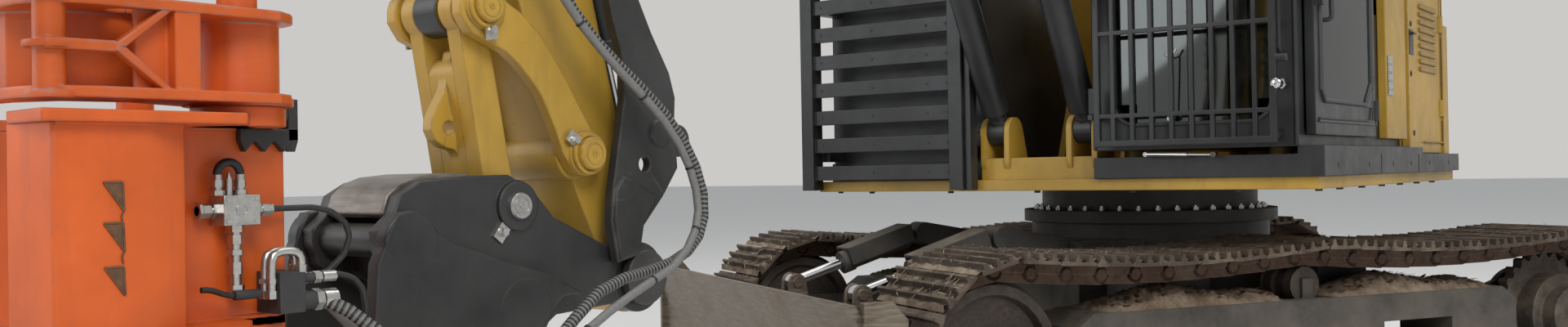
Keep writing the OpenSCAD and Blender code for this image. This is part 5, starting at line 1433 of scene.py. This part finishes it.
world = bpy.data.worlds.new("studio")
bpy.context.scene.world = world
world.use_nodes = True
wt = world.node_tree
wt.nodes.clear()


def background(color, strength):
    node = wt.nodes.new("ShaderNodeBackground")
    node.inputs[0].default_value, node.inputs[1].default_value = (*color, 1), strength
    return node


# what lights the scene, and the plain backdrop that is seen, also in glass and chrome
light, seen = background((0.93, 0.96, 1.0), 0.46), background((0.6, 0.59, 0.575), 1.0)
path = wt.nodes.new("ShaderNodeLightPath")
pick = wt.nodes.new("ShaderNodeMixShader")
wout = wt.nodes.new("ShaderNodeOutputWorld")
either = path.outputs["Is Camera Ray"]
for kind in ("Is Glossy Ray", "Is Transmission Ray"):
    most = wt.nodes.new("ShaderNodeMath")
    most.operation = "MAXIMUM"
    wt.links.new(either, most.inputs[0])
    wt.links.new(path.outputs[kind], most.inputs[1])
    either = most.outputs[0]
for a, b in ((either, pick.inputs[0]), (light.outputs[0], pick.inputs[1]), (seen.outputs[0], pick.inputs[2]),
             (pick.outputs[0], wout.inputs[0])):
    wt.links.new(a, b)


def lamp(name, place, to, size, power, color=(1, 1, 1)):
    d = bpy.data.lights.new(name, "AREA")
    d.shape, d.size, d.energy, d.color = "DISK", size, power, color
    o = link(bpy.data.objects.new(name, d))
    o.location = place
    o.rotation_mode = "QUATERNION"
    o.rotation_quaternion = (to - place).to_track_quat("-Z", "Y")


lamp("key", house(12, 14, 13), house(1.5, 0, 1), 9, 2000, (1.0, 0.98, 0.95))
lamp("fill", house(10, -5, 5), house(2, 0, 1), 7, 230, (0.94, 0.97, 1.0))
lamp("top", house(0, 0, 11), house(0, 0, 0), 9, 480)

# camera as the photo's: its angles, lens and place were fitted to the machine's edges
yaw, pitch, roll = math.radians(38.25), math.radians(0.42), math.radians(-1.01)
F = Vector((-math.cos(pitch) * math.cos(yaw), -math.cos(pitch) * math.sin(yaw), math.sin(pitch)))
U0 = Vector((math.sin(pitch) * math.cos(yaw), math.sin(pitch) * math.sin(yaw), math.cos(pitch)))
R0 = F.cross(U0)
R = R0 * math.cos(roll) + U0 * math.sin(roll)
U = U0 * math.cos(roll) - R0 * math.sin(roll)
cam = bpy.data.cameras.new("camera")
cam.sensor_width, cam.lens = 36, 29.25
cam.clip_start, cam.clip_end = 0.05, 200
co = link(bpy.data.objects.new("camera", cam))
m = Matrix.Identity(4)
for i in range(3):
    m[i][0], m[i][1], m[i][2] = R[i], U[i], -F[i]
m.translation = house(6.47, 2.66, 1.2)
co.matrix_world = m
bpy.context.scene.camera = co
bpy.context.scene.view_settings.view_transform = "Standard"
